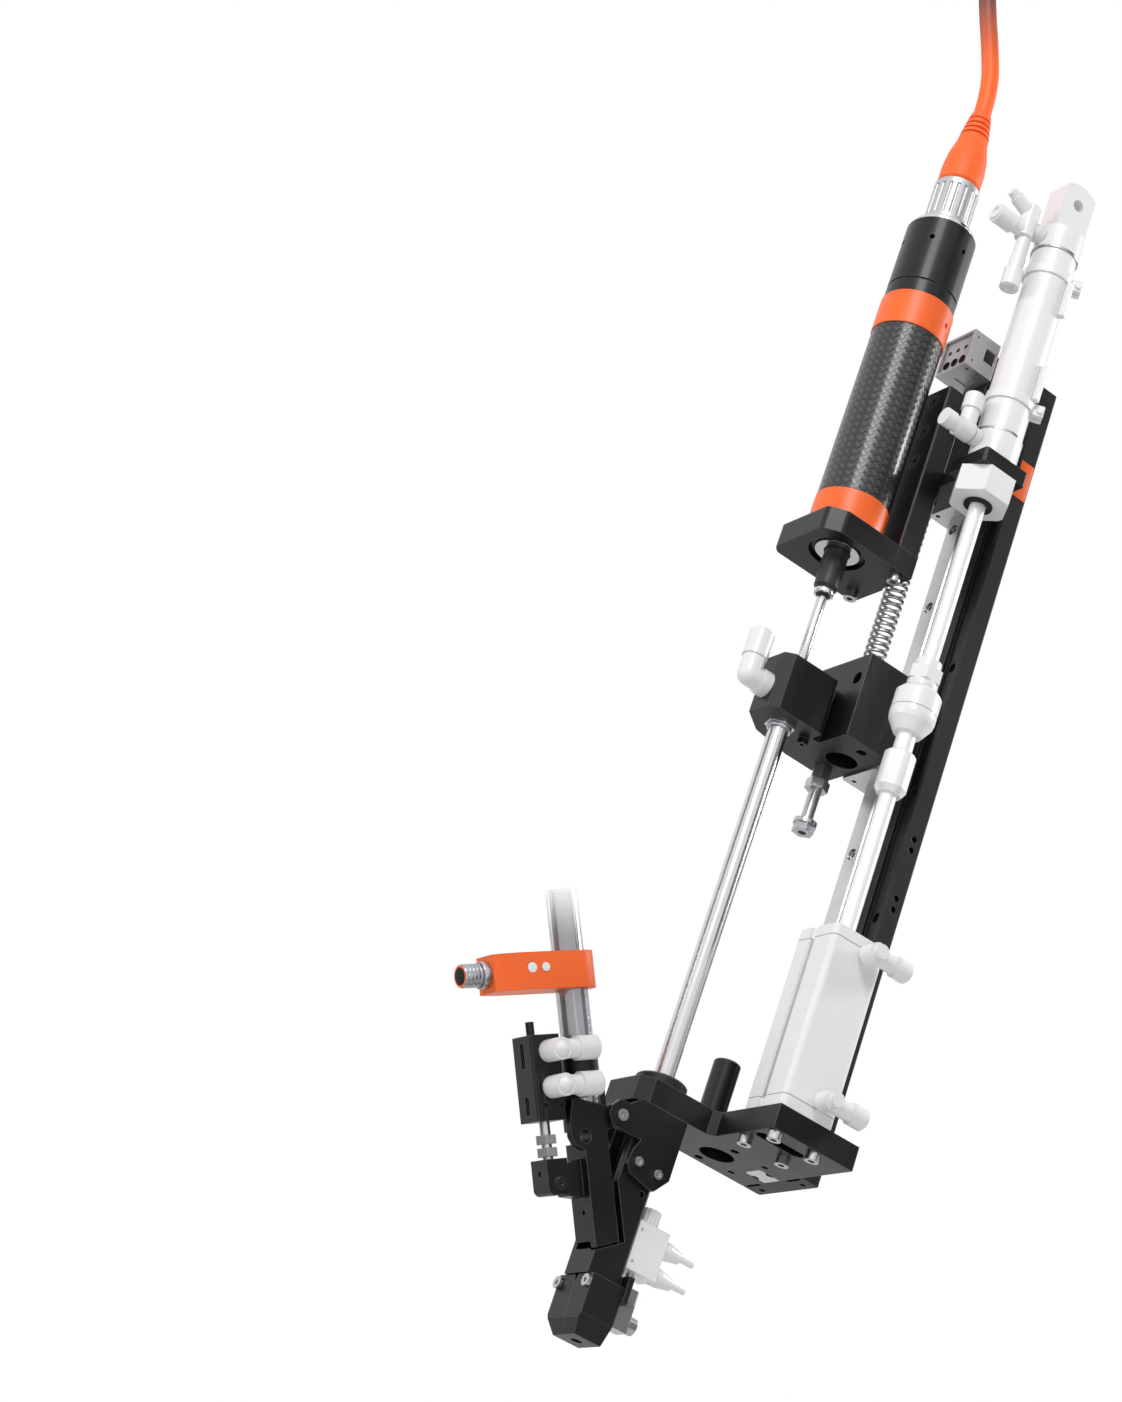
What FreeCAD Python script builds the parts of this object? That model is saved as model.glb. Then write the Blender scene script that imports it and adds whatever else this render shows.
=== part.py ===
"""Vacuum screwdriving spindle module: rail-guided electric screwdriver with
suction tube, two-stage pneumatic feed, feed arm and opening nose jaws.

Units are millimetres, +Z runs up along the screwdriving axis and -X looks from
the backbone towards the nose.  Everything is laid out about the tool axis
(x = y = 0, z = 0 at the underside of the base plate) and moved at the end so
that the origin is the centre of the mounting holes on the backbone's back.
"""
import FreeCAD
import Part
import math
import os

V = FreeCAD.Vector

# ------------------------------------------------------------------ driving sizes
# clearances
RUN = 0.05            # radial running clearance of a shaft in its bore
GAP = 0.30            # gap between faces that move past each other
SEAT = 0.0            # faces that are bolted together touch

# backbone profile
PROFILE_T = 13.0      # thickness in x
PROFILE_W = 58.0      # width in y
PROFILE_L = 565.0     # length in z
CHANNEL_D = 2.5       # depth of the two side channels
CHANNEL_W = 13.0
LIP_W = 3.0           # lip between channel and the profile's side
MOUNT_R = 3.3         # radius of the M6 mounting holes
MOUNT_PITCH = 89.0    # spacing of the three rows in z
MOUNT_SPAN = 39.0     # spacing of the two columns in y
MOUNT_Z = 262.0       # height of the middle row over the base plate's underside

# size 15 linear guide
RAIL_W = 15.0
RAIL_H = 15.0
RAIL_L = 546.0
RAIL_PITCH = 60.0
RAIL_END = 31.5       # first hole from the rail's lower end
RAIL_HOLE_R = 2.3
RAIL_SINK_R = 3.8
RAIL_SINK_D = 5.5
GUIDE_H = 28.0        # rail foot to carriage face
CARR_W = 34.0
CARR_L = 61.0
CARR_FOOT = 4.3       # carriage underside over the rail foot

# the tool axis stands this far in front of the profile
PROFILE_X = 91.5

# base plate
PLATE_T = 15.0
PLATE_X0 = 33.0       # left side of the wide part
PLATE_X1 = 91.5
PLATE_Y0 = -76.0
PLATE_Y1 = 29.0
ARM_X0 = -20.0        # end of the narrow arm
ARM_Y0 = -16.0
ARM_CH = 7.0          # chamfers at the arm's end

# suction tube and its guide collar
TUBE_R = 6.2
TUBE_BORE_R = 4.3
TUBE_Z0 = 2.0
COLLAR_R = 15.5
COLLAR_T = 6.0

# lower compact cylinder
LCYL_X = 52.5
LCYL_Y = -57.0
LCYL_W = 38.0
LCYL_H = 115.0
LCYL_HEAD = 7.0       # end cap thickness
LROD_R = 5.2
PISTON_R = 12.5
PISTON_H = 14.0

# intermediate block
BLK_Z0 = 263.0
BLK_H = 58.0
BLK_W = 62.0
BLK_X0 = 28.0
BLKARM_X0 = -18.0
BLKARM_H = 38.0       # height of the narrow arm
BLKARM_Y0 = -14.3
SPRING_R = 7.4
SPRING_WIRE = 1.1
SPRING_X = 49.3
SPRING_TURNS = 19
SPRING_SEAT = 10.0    # depth of the spring pocket
SPRING_FIT = 0.6
BLKHOLE_R = 10.3
BLKHOLE_D = 40.0
STOP_X = 51.0
STOP_Y = 21.0
STOP_R = 3.9          # M8 stop bolt
MID_TRAVEL = 115.0

# stop post
POST_R = 8.3
POST_H = 45.0

# driver flange and motor bracket
FLANGE_Z0 = 386.0
FLANGE_T = 16.0
FLANGE_X0 = -26.0
FLANGE_X1 = 43.0
FLANGE_Y0 = -24.0
FLANGE_Y1 = 36.0
FLANGE_BORE_R = 18.5
BRACKET_X0 = 27.0
BRACKET_Z1 = 526.0
ADAPT_Z0 = 458.0
ADAPT_Y = 17.0
UPPER_CARR_Z0 = 461.0
VPLATE_T = 3.5        # plate that carries the valve box
VPLATE_Z1 = 576.0

# screwdriver
DRV_R = 24.2
LRING_H = 19.0
SLEEVE_H = 130.0
URING_H = 26.0
CAP_H = 61.0
COLLAR2_H = 7.0
COLLAR2_R = 20.5
NUT_R = 15.3
NUT_H = 33.0
BOOT_R = 14.5
BOOT_H = 64.0
CABLE_R = 6.0
CHUCK_R = 8.3
CHUCK_H = 20.0
SHAFT_R = 3.1
SHAFT_Z0 = 60.0

# upper round cylinder, on the axis of the lower one
UCYL_R = 14.9
UCYL_CAP_R = 15.6
UCYL_Z0 = 467.0       # upper face of its mounting plate
UCYL_FCAP = 20.0
UCYL_TUBE = 145.0
UCYL_RCAP = 18.0
TANG_H = 38.0
TANG_W = 24.0
TANG_T = 18.0
TANG_R = 4.2
MPLATE_T = 10.0
HEX_AF = 35.0
HEX_H = 19.0
UROD_R = 5.2
UCYL_STROKE = 100.0

# floating joint between the two rods
FJ_Z = (228.0, 257.0, 270.0, 300.0, 306.0, 321.0)
FJ_R = (9.8, 6.0, 14.4, 9.6, 10.8)

# nose
NOSE_X0 = -14.0
NOSE_X1 = 9.5
NOSE_Y = 12.0
NOSE_H = 103.0
SIDE_T = 4.0
PIVOT_X = -27.5
PIVOT_Z = -15.0
PIVOT_R = 3.0
FEED_ANGLE = 29.0     # lean of the feed tube from the tool axis
FEED_MEET = -93.0     # height where the two axes meet
ARM_SWING = 10.0
FEED_R = 9.4
FEED_BORE_R = 7.6
FEED_U0 = 88.0
FEED_U1 = 212.0
JAW_X0 = -13.0
JAW_X1 = 8.5
JAW_Z0 = -137.5
JAW_PIN_R = 2.0
JP_Y = 14.6           # jaw pins beside the tool axis
JP_Z = -108.5
HANGER_X1 = 13.0      # plate on the nose that holds the jaw pins

OUT = "parts"
ORIGIN = V(-(PROFILE_X + PROFILE_T), 0, -MOUNT_Z)
os.makedirs(OUT, exist_ok=True)
names = []


# ------------------------------------------------------------------ helpers
def box(x0, x1, y0, y1, z0, z1):
    return Part.makeBox(x1 - x0, y1 - y0, z1 - z0, V(x0, y0, z0))


def rod(r, x, y, z0, z1):
    return Part.makeCylinder(r, z1 - z0, V(x, y, z0), V(0, 0, 1))


def along(r, p, d, h):
    return Part.makeCylinder(r, h, V(*p), V(*d))


def cone(r0, r1, p, d, h):
    return Part.makeCone(r0, r1, h, V(*p), V(*d))


def prism(pts, z0, z1):
    """Upright prism over a polygon in x, y."""
    w = Part.makePolygon([V(x, y, z0) for x, y in pts] + [V(pts[0][0], pts[0][1], z0)])
    return Part.Face(w).extrude(V(0, 0, z1 - z0))


def slab(pts, y0, y1):
    """Plate over a polygon in x, z that runs from y0 to y1."""
    w = Part.makePolygon([V(x, y0, z) for x, z in pts] + [V(pts[0][0], y0, pts[0][1])])
    return Part.Face(w).extrude(V(0, y1 - y0, 0))


def hexagon(af, x, y, z0, z1, turn=0.0):
    r = af / math.sqrt(3)
    a0 = math.radians(turn)
    pts = [(x + r * math.cos(a0 + i * math.pi / 3), y + r * math.sin(a0 + i * math.pi / 3))
           for i in range(6)]
    return prism(pts, z0, z1)


def turned(profile, x, y):
    """Solid of revolution about an upright axis from (radius, z) points."""
    pts = [V(r, 0, z) for r, z in profile]
    face = Part.Face(Part.makePolygon(pts + [pts[0]]))
    s = face.revolve(V(0, 0, 0), V(0, 0, 1), 360)
    s.translate(V(x, y, 0))
    return s


def fillet(s, r, pick):
    edges = [e for e in s.Edges if pick(e)]
    return s.makeFillet(r, edges) if edges else s


def chamfer(s, r, pick):
    edges = [e for e in s.Edges if pick(e)]
    return s.makeChamfer(r, edges) if edges else s


def upright(e):
    a, b = e.Vertexes[0].Point, e.Vertexes[-1].Point
    return abs(a.x - b.x) < 1e-6 and abs(a.y - b.y) < 1e-6 and abs(a.z - b.z) > 1e-6


def socket_screw(d, length, head_at, direction):
    """Socket head cap screw; the head's seat is at head_at, its shank runs along direction."""
    hr, hh, key = d * 0.85, d, d * 0.8
    dv = V(*direction)
    base = V(*head_at)
    s = Part.makeCylinder(hr, hh, base, dv * -1).fuse(Part.makeCylinder(d / 2, length, base, dv))
    k = d * 0.55
    wrench = Part.makeCylinder(key / 2, k, base - dv * hh, dv)
    return s.cut(wrench)


def merge(items):
    s = items[0]
    for t in items[1:]:
        s = s.fuse(t)
    return s.removeSplitter()


def emit(name, shapes):
    """Write one sub-part; a list holds separate identical pieces."""
    shapes = shapes if isinstance(shapes, list) else [shapes]
    solids = []
    for s in shapes:
        assert s.isValid(), name
        assert len(s.Solids) == 1, (name, len(s.Solids))
        t = s.Solids[0].copy()
        t.translate(ORIGIN)
        solids.append(t)
    out = solids[0] if len(solids) == 1 else Part.makeCompound(solids)
    out.exportStep(os.path.join(OUT, name + ".step"))
    names.append(name)


# ------------------------------------------------------------------ backbone and guide
HALF_P = PROFILE_W / 2
PROFILE_BACK = PROFILE_X + PROFILE_T
CARR_X = PROFILE_X - GUIDE_H                  # face that the moving blocks bolt to

profile = box(PROFILE_X, PROFILE_BACK, -HALF_P, HALF_P, 0, PROFILE_L)
profile = chamfer(profile, 0.8, upright)
for side in (-1, 1):
    ya = side * (HALF_P - LIP_W)
    yb = side * (HALF_P - LIP_W - CHANNEL_W)
    profile = profile.cut(box(PROFILE_X - 1, PROFILE_X + CHANNEL_D, min(ya, yb), max(ya, yb),
                              -1, PROFILE_L + 1))
for i in (-1, 0, 1):
    for side in (-1, 1):
        profile = profile.cut(along(MOUNT_R, (PROFILE_X - 1, side * MOUNT_SPAN / 2,
                                              MOUNT_Z + i * MOUNT_PITCH), (1, 0, 0), PROFILE_T + 2))
SIDE_HOLES = (227.5, 220.0, 186.5, 179.0)
SIDE_HOLE_R = 2.1
for z in SIDE_HOLES:
    profile = profile.cut(along(SIDE_HOLE_R, (PROFILE_X + PROFILE_T / 2, -HALF_P - 1, z),
                                (0, 1, 0), 5))
END_HOLE_R = 2.1
for y in (-20.0, 20.0):
    profile = profile.cut(along(END_HOLE_R, (PROFILE_X + PROFILE_T / 2 + 1.5, y, -1), (0, 0, 1), 8))
rail_holes = []
z = RAIL_END
while z < RAIL_L - 10:
    rail_holes.append(z)
    z += RAIL_PITCH
RAIL_SCREW_L = RAIL_H - RAIL_SINK_D + 7.0
for z in rail_holes:
    profile = profile.cut(along(2.0, (PROFILE_X - 1, 0, z), (1, 0, 0), 9.0))
emit("backbone_profile", profile)

RAIL_X = PROFILE_X - RAIL_H
w = RAIL_W / 2
sec = [(RAIL_X, w - 1), (RAIL_X + 1, w), (RAIL_X + 4.2, w), (RAIL_X + 6.4, w - 2.6),
       (RAIL_X + 8.6, w - 2.6), (RAIL_X + 10.8, w), (PROFILE_X, w)]
sec = sec + [(x, -y) for x, y in reversed(sec)]
rail = prism(sec, 0, RAIL_L)
for z in rail_holes:
    rail = rail.cut(along(RAIL_HOLE_R, (RAIL_X - 1, 0, z), (1, 0, 0), RAIL_H + 2))
    rail = rail.cut(along(RAIL_SINK_R, (RAIL_X - 1, 0, z), (1, 0, 0), RAIL_SINK_D + 1))
emit("guide_rail", rail)
emit("rail_screws", [socket_screw(4.0, RAIL_SCREW_L, (RAIL_X + RAIL_SINK_D, 0, z), (1, 0, 0))
                     for z in rail_holes])


def carriage(z0):
    """Guide block that rides on the rail, with its two end caps and grease port."""
    c = box(CARR_X, PROFILE_X - CARR_FOOT, -CARR_W / 2, CARR_W / 2, z0, z0 + CARR_L)
    c = chamfer(c, 1.5, upright)
    clear = RUN * 2
    grown = [(x + (clear if x > PROFILE_X - 0.1 else (-clear if x < RAIL_X + 0.5 else 0)),
              y + (clear if y > 0 else -clear)) for x, y in sec]
    c = c.cut(prism([(x + (6 if x > PROFILE_X else 0), y) for x, y in grown], z0 - 1, z0 + CARR_L + 1))
    for zz in (z0 + 9, z0 + CARR_L - 10):
        c = c.cut(box(CARR_X - 1, PROFILE_X, -CARR_W, -CARR_W / 2 + 0.6, zz, zz + 1))
        c = c.cut(box(CARR_X - 1, PROFILE_X, CARR_W / 2 - 0.6, CARR_W, zz, zz + 1))
    c = c.cut(along(1.6, (CARR_X + 6, 11, z0 - 1), (0, 0, 1), 5))
    return c


LOW_CARR_Z0 = BLK_Z0 - 1.5
emit("lower_carriage", carriage(LOW_CARR_Z0))
emit("upper_carriage", carriage(UPPER_CARR_Z0))

# ------------------------------------------------------------------ base plate group
outline = [(PLATE_X1, PLATE_Y0), (PLATE_X1, PLATE_Y1), (ARM_X0 + ARM_CH, PLATE_Y1),
           (ARM_X0, PLATE_Y1 - ARM_CH), (ARM_X0, ARM_Y0 + ARM_CH), (ARM_X0 + ARM_CH, ARM_Y0),
           (PLATE_X0 - 4, ARM_Y0), (PLATE_X0, ARM_Y0 - 4), (PLATE_X0, PLATE_Y0)]
plate = prism(outline, 0, PLATE_T)
NOTCH = GAP
plate = plate.cut(box(RAIL_X - NOTCH, PLATE_X1 + 1, -RAIL_W / 2 - NOTCH, RAIL_W / 2 + NOTCH, -1,
                      PLATE_T + 1))
plate = plate.cut(rod(COLLAR_R - 4, 0, 0, -1, PLATE_T + 1))
BIG_HOLE = (53.0, 5.0, 10.8)
plate = plate.cut(rod(BIG_HOLE[2], BIG_HOLE[0], BIG_HOLE[1], -1, 9.0))
for x, y, r in ((52.5, 22.5, 2.9), (52.5, -13.5, 2.9), (74.5, 18.5, 2.2), (74.5, -14.5, 2.2)):
    plate = plate.cut(rod(r, x, y, -1, 9.0))
SLOT_W = 9.5
SLOT_L = 24.0
slot = box(LCYL_X - SLOT_L / 2, LCYL_X + SLOT_L / 2, LCYL_Y - SLOT_W / 2, LCYL_Y + SLOT_W / 2, -1, 9.0)
for s in (-1, 1):
    slot = slot.fuse(rod(SLOT_W / 2, LCYL_X + s * SLOT_L / 2, LCYL_Y, -1, 9.0))
plate = plate.cut(slot)
BOLT_SQ = 28.0
BOLT_D = 5.0
corners = [(LCYL_X + sx * BOLT_SQ / 2, LCYL_Y + sy * BOLT_SQ / 2) for sx in (-1, 1) for sy in (-1, 1)]
for x, y in corners:
    plate = plate.cut(rod(BOLT_D / 2 + RUN, x, y, -1, PLATE_T + 1))
plate = plate.cut(rod(3.0 + RUN, STOP_X, STOP_Y, PLATE_T - 6, PLATE_T + 1))
emit("base_plate", plate)
emit("base_plate_screws", [socket_screw(BOLT_D, PLATE_T + 8.0, (x, y, 0), (0, 0, 1)) for x, y in corners])

collar = rod(COLLAR_R, 0, 0, PLATE_T, PLATE_T + COLLAR_T)
collar = chamfer(collar, 1.0, lambda e: abs(e.CenterOfMass.z - PLATE_T - COLLAR_T) < 1e-6)
collar = collar.fuse(rod(COLLAR_R - 4, 0, 0, 0.5, PLATE_T)).cut(rod(TUBE_R + RUN, 0, 0, -1, 60))
emit("tube_guide_collar", collar)

post = rod(POST_R, STOP_X, STOP_Y, PLATE_T, PLATE_T + POST_H)
post = chamfer(post, 1.0, lambda e: abs(e.CenterOfMass.z - PLATE_T - POST_H) < 1e-6)
post = post.fuse(rod(3.0, STOP_X, STOP_Y, PLATE_T - 5.5, PLATE_T))
emit("stop_post", post)

# lower compact cylinder: extruded body with rounded lobes, two heads, side ports
HW = LCYL_W / 2
LC_Z0 = PLATE_T
LC_Z1 = PLATE_T + LCYL_H


def lobed(z0, z1, r, grow=0.0):
    h = HW + grow
    b = box(LCYL_X - h, LCYL_X + h, LCYL_Y - h, LCYL_Y + h, z0, z1)
    return fillet(b, r, upright)


def lobe_groove(z0, z1):
    """Groove along the -x face that parts the body's two lobes."""
    g = rod(2.6, LCYL_X - HW, LCYL_Y + 2.5, z0, z1)
    return g


PORT_R = 3.6
PORT_D = 2.5
LOW_PORTS = (LC_Z0 + 11.0, LC_Z1 - 11.0)
LOW_FIT_X = LCYL_X + 4.0
body = lobed(LC_Z0, LC_Z1 - LCYL_HEAD, 4.0).cut(lobe_groove(-5, LC_Z1 + 5))
body = body.cut(rod(PISTON_R + RUN, LCYL_X, LCYL_Y, LC_Z0 + LCYL_HEAD, LC_Z1 + 5))
for z in LOW_PORTS:
    body = body.cut(along(PORT_R, (LOW_FIT_X, LCYL_Y - HW - 1, z), (0, 1, 0), PORT_D + 1))
for x, y in corners:
    body = body.cut(rod(BOLT_D / 2 + RUN, x, y, -5, LC_Z0 + LCYL_HEAD + 3))
emit("lower_cylinder_body", body)
head = lobed(LC_Z1 - LCYL_HEAD, LC_Z1, 4.0).cut(lobe_groove(-5, LC_Z1 + 5))
head = head.cut(rod(LROD_R + RUN, LCYL_X, LCYL_Y, 0, LC_Z1 + 5))
emit("lower_cylinder_rod_head", head)


def elbow_y(x, z, run):
    """Speed controller on a -y face: banjo body, needle knob and push-in sleeve along +x."""
    y = LCYL_Y - HW
    b = along(PORT_R, (x, y + PORT_D, z), (0, -1, 0), 6.5).fuse(along(6.2, (x, y - 4.0, z), (0, -1, 0), 10.5))
    b = b.fuse(along(4.4, (x, y - 14.5, z), (0, -1, 0), 4.0))
    b = b.fuse(along(5.4, (x, y - 9.5, z), (1, 0, 0), run - 9.0))
    b = b.fuse(along(6.6, (x + run - 9.0, y - 9.5, z), (1, 0, 0), 9.0))
    return b.cut(along(3.0, (x + run - 7.0, y - 9.5, z), (1, 0, 0), 8.0))


fits = [elbow_y(LOW_FIT_X, z, 25.0) for z in LOW_PORTS]
emit("lower_flow_fittings", fits)

# ------------------------------------------------------------------ intermediate block
bw = BLK_W / 2
b1 = BLK_Z0 + BLK_H
out = [(BLK_X0, -bw), (CARR_X, -bw), (CARR_X, bw), (BLK_X0, bw), (-1.0, 24.5), (BLKARM_X0, 10.0),
       (BLKARM_X0, BLKARM_Y0 + 5.3), (BLKARM_X0 + 5.3, BLKARM_Y0), (BLK_X0 - 6, BLKARM_Y0),
       (BLK_X0 - 6, BLKARM_Y0 + 11), (BLK_X0, BLKARM_Y0 + 11)]
blk = prism(out, BLK_Z0, b1)
# the arm in front is lower than the rear part
blk = blk.cut(box(BLKARM_X0 - 1, BLK_X0 - 0.01, -bw - 1, bw + 1, BLK_Z0 + BLKARM_H, b1 + 1))
blk = fillet(blk, 2.8, lambda e: upright(e) and abs(e.CenterOfMass.x - BLK_X0 + 6) < 0.01
             and abs(e.CenterOfMass.y - BLKARM_Y0) < 0.01)
blk = blk.cut(rod(BLKHOLE_R, SPRING_X, 0, BLK_Z0 - 1, BLK_Z0 + BLKHOLE_D))
blk = blk.cut(rod(SPRING_R + SPRING_FIT, SPRING_X, 0, b1 - SPRING_SEAT, b1 + 1))
blk = blk.cut(rod(3.4, 48.0, -21.5, BLK_Z0 - 1, BLK_Z0 + 14))
blk = blk.cut(along(4.3, (BLK_X0 - 1, -22.8, BLK_Z0 + 42.0), (1, 0, 0), 16))
blk = blk.cut(rod(TUBE_R, 0, 0, BLK_Z0 - 1, BLK_Z0 + 30))
blk = blk.cut(rod(SHAFT_R + 0.6, 0, 0, BLK_Z0, b1 + 1))
ELB_Z = BLK_Z0 + 16.0
blk = blk.cut(along(4.0, (BLKARM_X0 - 1, 0, ELB_Z), (1, 0, 0), 9.0))
blk = blk.cut(rod(STOP_R, STOP_X, STOP_Y, BLK_Z0 - 1, BLK_Z0 + 20))
BLK_SCREWS = ((20.5, 3.0), (12.0, 24.0))
for x, y in BLK_SCREWS:
    blk = blk.cut(rod(2.0, x, y, BLK_Z0 - 1, BLK_Z0 + 12))
for x, y in BLK_SCREWS:
    blk = blk.fuse(socket_screw(4.0, 10.0, (x, y, BLK_Z0), (0, 0, 1)))
emit("intermediate_block", blk)
tube = rod(TUBE_R, 0, 0, TUBE_Z0, BLK_Z0 + 30).cut(rod(TUBE_BORE_R, 0, 0, TUBE_Z0 - 1, BLK_Z0 + 31))
tube = tube.cut(along(2.6, (-TUBE_R - 1, 0, ELB_Z), (1, 0, 0), TUBE_R))
gland = hexagon(17.0, 0, 0, BLK_Z0 - 3.5, BLK_Z0, 15).cut(rod(TUBE_R - 1, 0, 0, BLK_Z0 - 5, BLK_Z0 + 1))
emit("suction_tube", tube.fuse(gland))

# suction elbow: face boss on the arm's end, bend, sleeve pointing up
ex = BLKARM_X0
elb = along(3.9, (ex + 6.5, 0, ELB_Z), (-1, 0, 0), 6.5).fuse(along(8.3, (ex, 0, ELB_Z), (-1, 0, 0), 6.0))
elb = elb.fuse(along(7.2, (ex - 6.0, 0, ELB_Z), (-1, 0, 0), 8.0))
elb = elb.fuse(Part.makeSphere(7.2, V(ex - 14.0, 0, ELB_Z)))
elb = elb.fuse(rod(7.2, ex - 14.0, 0, ELB_Z, ELB_Z + 12.0))
elb = elb.fuse(rod(8.1, ex - 14.0, 0, ELB_Z + 12.0, ELB_Z + 29.0))
elb = elb.cut(rod(4.2, ex - 14.0, 0, ELB_Z + 10.0, ELB_Z + 30.0))
emit("suction_elbow", elb)

# stop bolt that meets the stop post, with its jam nut
HEAD_Z0 = 217.0
sb = rod(STOP_R, STOP_X, STOP_Y, HEAD_Z0 + 6, BLK_Z0 + 18)
sb = sb.fuse(hexagon(12.5, STOP_X, STOP_Y, HEAD_Z0, HEAD_Z0 + 7, 10))
sb = sb.fuse(rod(7.4, STOP_X, STOP_Y, HEAD_Z0 + 5, HEAD_Z0 + 8))
sb = sb.cut(rod(2.6, STOP_X, STOP_Y, HEAD_Z0 - 1, HEAD_Z0 + 3))
sb = sb.fuse(hexagon(13.0, STOP_X, STOP_Y, BLK_Z0 - 16.0, BLK_Z0 - 9.5, 25))
sb = sb.fuse(hexagon(11.0, STOP_X, STOP_Y, BLK_Z0 - 9.5, BLK_Z0, 5))
emit("stop_bolt", sb)

# ------------------------------------------------------------------ driver carriage
ft = FLANGE_Z0 + FLANGE_T
fo = [(FLANGE_X1, FLANGE_Y0), (FLANGE_X1, FLANGE_Y1),
      (FLANGE_X0 + 5, FLANGE_Y1), (FLANGE_X0, FLANGE_Y1 - 5), (FLANGE_X0, FLANGE_Y0 + 8),
      (FLANGE_X0 + 11, FLANGE_Y0)]
flange = prism(fo, FLANGE_Z0, ft)
flange = fillet(flange, 5.0, lambda e: upright(e) and e.CenterOfMass.x < -10)
flange = flange.cut(rod(FLANGE_BORE_R, 0, 0, FLANGE_Z0 - 1, ft + 1))
SPRING_WAY = rod(SPRING_R + SPRING_FIT, SPRING_X, 0, FLANGE_Z0 - 1, ADAPT_Z0 + 4.0)
flange = flange.cut(SPRING_WAY)
FL_SCREWS = ((35.0, FLANGE_Y0 + 7.0), (35.0, FLANGE_Y1 - 9.0))
for x, y in FL_SCREWS:
    flange = flange.cut(rod(2.5 + RUN, x, y, FLANGE_Z0 - 1, ft + 1))
emit("driver_flange", flange)
FLS_D = 5.0
emit("flange_screws", [socket_screw(FLS_D, FLANGE_T + 10, (x, y, FLANGE_Z0), (0, 0, 1))
                       for x, y in FL_SCREWS])

br = box(BRACKET_X0, FLANGE_X1, FLANGE_Y0, FLANGE_Y1, ft, BRACKET_Z1)
br = chamfer(br, 0.8, upright).cut(SPRING_WAY)
for z in (518.0, 494.0, 471.0):
    for y in (-10.0, 10.0):
        br = br.cut(along(2.3, (BRACKET_X0 - 1, y, z), (1, 0, 0), 20))
        br = br.cut(cone(5.2, 2.3, (BRACKET_X0, y, z), (1, 0, 0), 3.2))
for x, y in FL_SCREWS:
    br = br.cut(rod(2.5, x, y, ft - 1, ft + 12))
emit("motor_bracket", br)
sunk = []
for z in (518.0, 494.0, 471.0):
    for y in (-10.0, 10.0):
        s = cone(5.2, 2.3, (BRACKET_X0, y, z), (1, 0, 0), 3.2).fuse(
            along(2.3, (BRACKET_X0 + 3.2, y, z), (1, 0, 0), 16.0))
        sunk.append(s.cut(hexagon(3.0, 0, 0, 0, 2.0).rotated(V(0, 0, 0), V(0, 1, 0), 90)
                          .translated(V(BRACKET_X0 - 0.01, y, z))))
emit("bracket_screws", sunk)
ad = box(FLANGE_X1, CARR_X, -ADAPT_Y, ADAPT_Y, ADAPT_Z0, BRACKET_Z1 - 2)
ad = chamfer(ad, 0.8, upright)
ad = ad.fuse(box(CARR_X - VPLATE_T, CARR_X, -12.0, 12.0, BRACKET_Z1 - 2, VPLATE_Z1))
ad = ad.cut(rod(SPRING_R + SPRING_FIT, SPRING_X, 0, ADAPT_Z0 - 1, ADAPT_Z0 + 4.0))
for z in (518.0, 494.0, 471.0):
    for y in (-10.0, 10.0):
        ad = ad.cut(along(2.3, (FLANGE_X1 - 1, y, z), (1, 0, 0), 7.5))
emit("carriage_adapter", ad)

# compression spring between block and adapter, drawn as one closed coil band
SP0 = b1 - SPRING_SEAT
SP1 = ADAPT_Z0 + 4.0
spring = rod(SPRING_R, SPRING_X, 0, SP0, SP1).cut(rod(SPRING_R - 2 * SPRING_WIRE, SPRING_X, 0,
                                                     SP0 - 1, SP1 + 1))
emit("return_spring", spring)

# screwdriver stack, from the flange up
z = ft
FACE_R = FLANGE_BORE_R - 0.5
lr = rod(DRV_R, 0, 0, z, z + LRING_H)
lr = lr.fuse(rod(FACE_R, 0, 0, FLANGE_Z0 + 5, z))
lr = lr.cut(rod(CHUCK_R + 3.5, 0, 0, FLANGE_Z0 + 2, z + 6))
lr = lr.cut(rod(SHAFT_R + 2, 0, 0, FLANGE_Z0 + 2, z + LRING_H - 3))
emit("driver_lower_ring", lr)
BEAR_R = CHUCK_R + 3.5
bear = rod(BEAR_R, 0, 0, FLANGE_Z0 + 2.0, FLANGE_Z0 + 14.0).cut(
    rod(CHUCK_R + 0.4, 0, 0, FLANGE_Z0, FLANGE_Z0 + 40))
bear = bear.fuse(rod(BEAR_R + 2.6, 0, 0, FLANGE_Z0 + 1.0, FLANGE_Z0 + 5.0).cut(
    rod(CHUCK_R + 0.4, 0, 0, FLANGE_Z0, FLANGE_Z0 + 40)))
emit("output_bearing", bear)
z += LRING_H
sl = rod(DRV_R - 0.4, 0, 0, z, z + SLEEVE_H)
emit("driver_sleeve", sl)
z += SLEEVE_H
ur = rod(DRV_R + 0.2, 0, 0, z, z + URING_H)
ur = chamfer(ur, 0.6, lambda e: True if abs(e.CenterOfMass.z - z) < 1e-6 or
             abs(e.CenterOfMass.z - z - URING_H) < 1e-6 else False)
ur = ur.cut(along(1.8, (14, -27, z + 13.5), (-0.33, 0.75, 0), 8))
emit("driver_upper_ring", ur)
z += URING_H
cap = rod(DRV_R - 0.7, 0, 0, z, z + CAP_H)
groove = rod(DRV_R + 1, 0, 0, z + 9.5, z + 11.0).cut(rod(DRV_R - 1.7, 0, 0, z + 9, z + 12))
cap = cap.cut(groove)
for a in (-150, -90, -30, 30, 90, 150):
    d = (math.cos(math.radians(a + 15)), math.sin(math.radians(a + 15)), 0)
    cap = cap.cut(along(1.9, (d[0] * (DRV_R - 7), d[1] * (DRV_R - 7), z + 44.0), d, 10))
cap = chamfer(cap, 1.0, lambda e: abs(e.CenterOfMass.z - z - CAP_H) < 1e-6 and e.BoundBox.XLength > 40)
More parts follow.
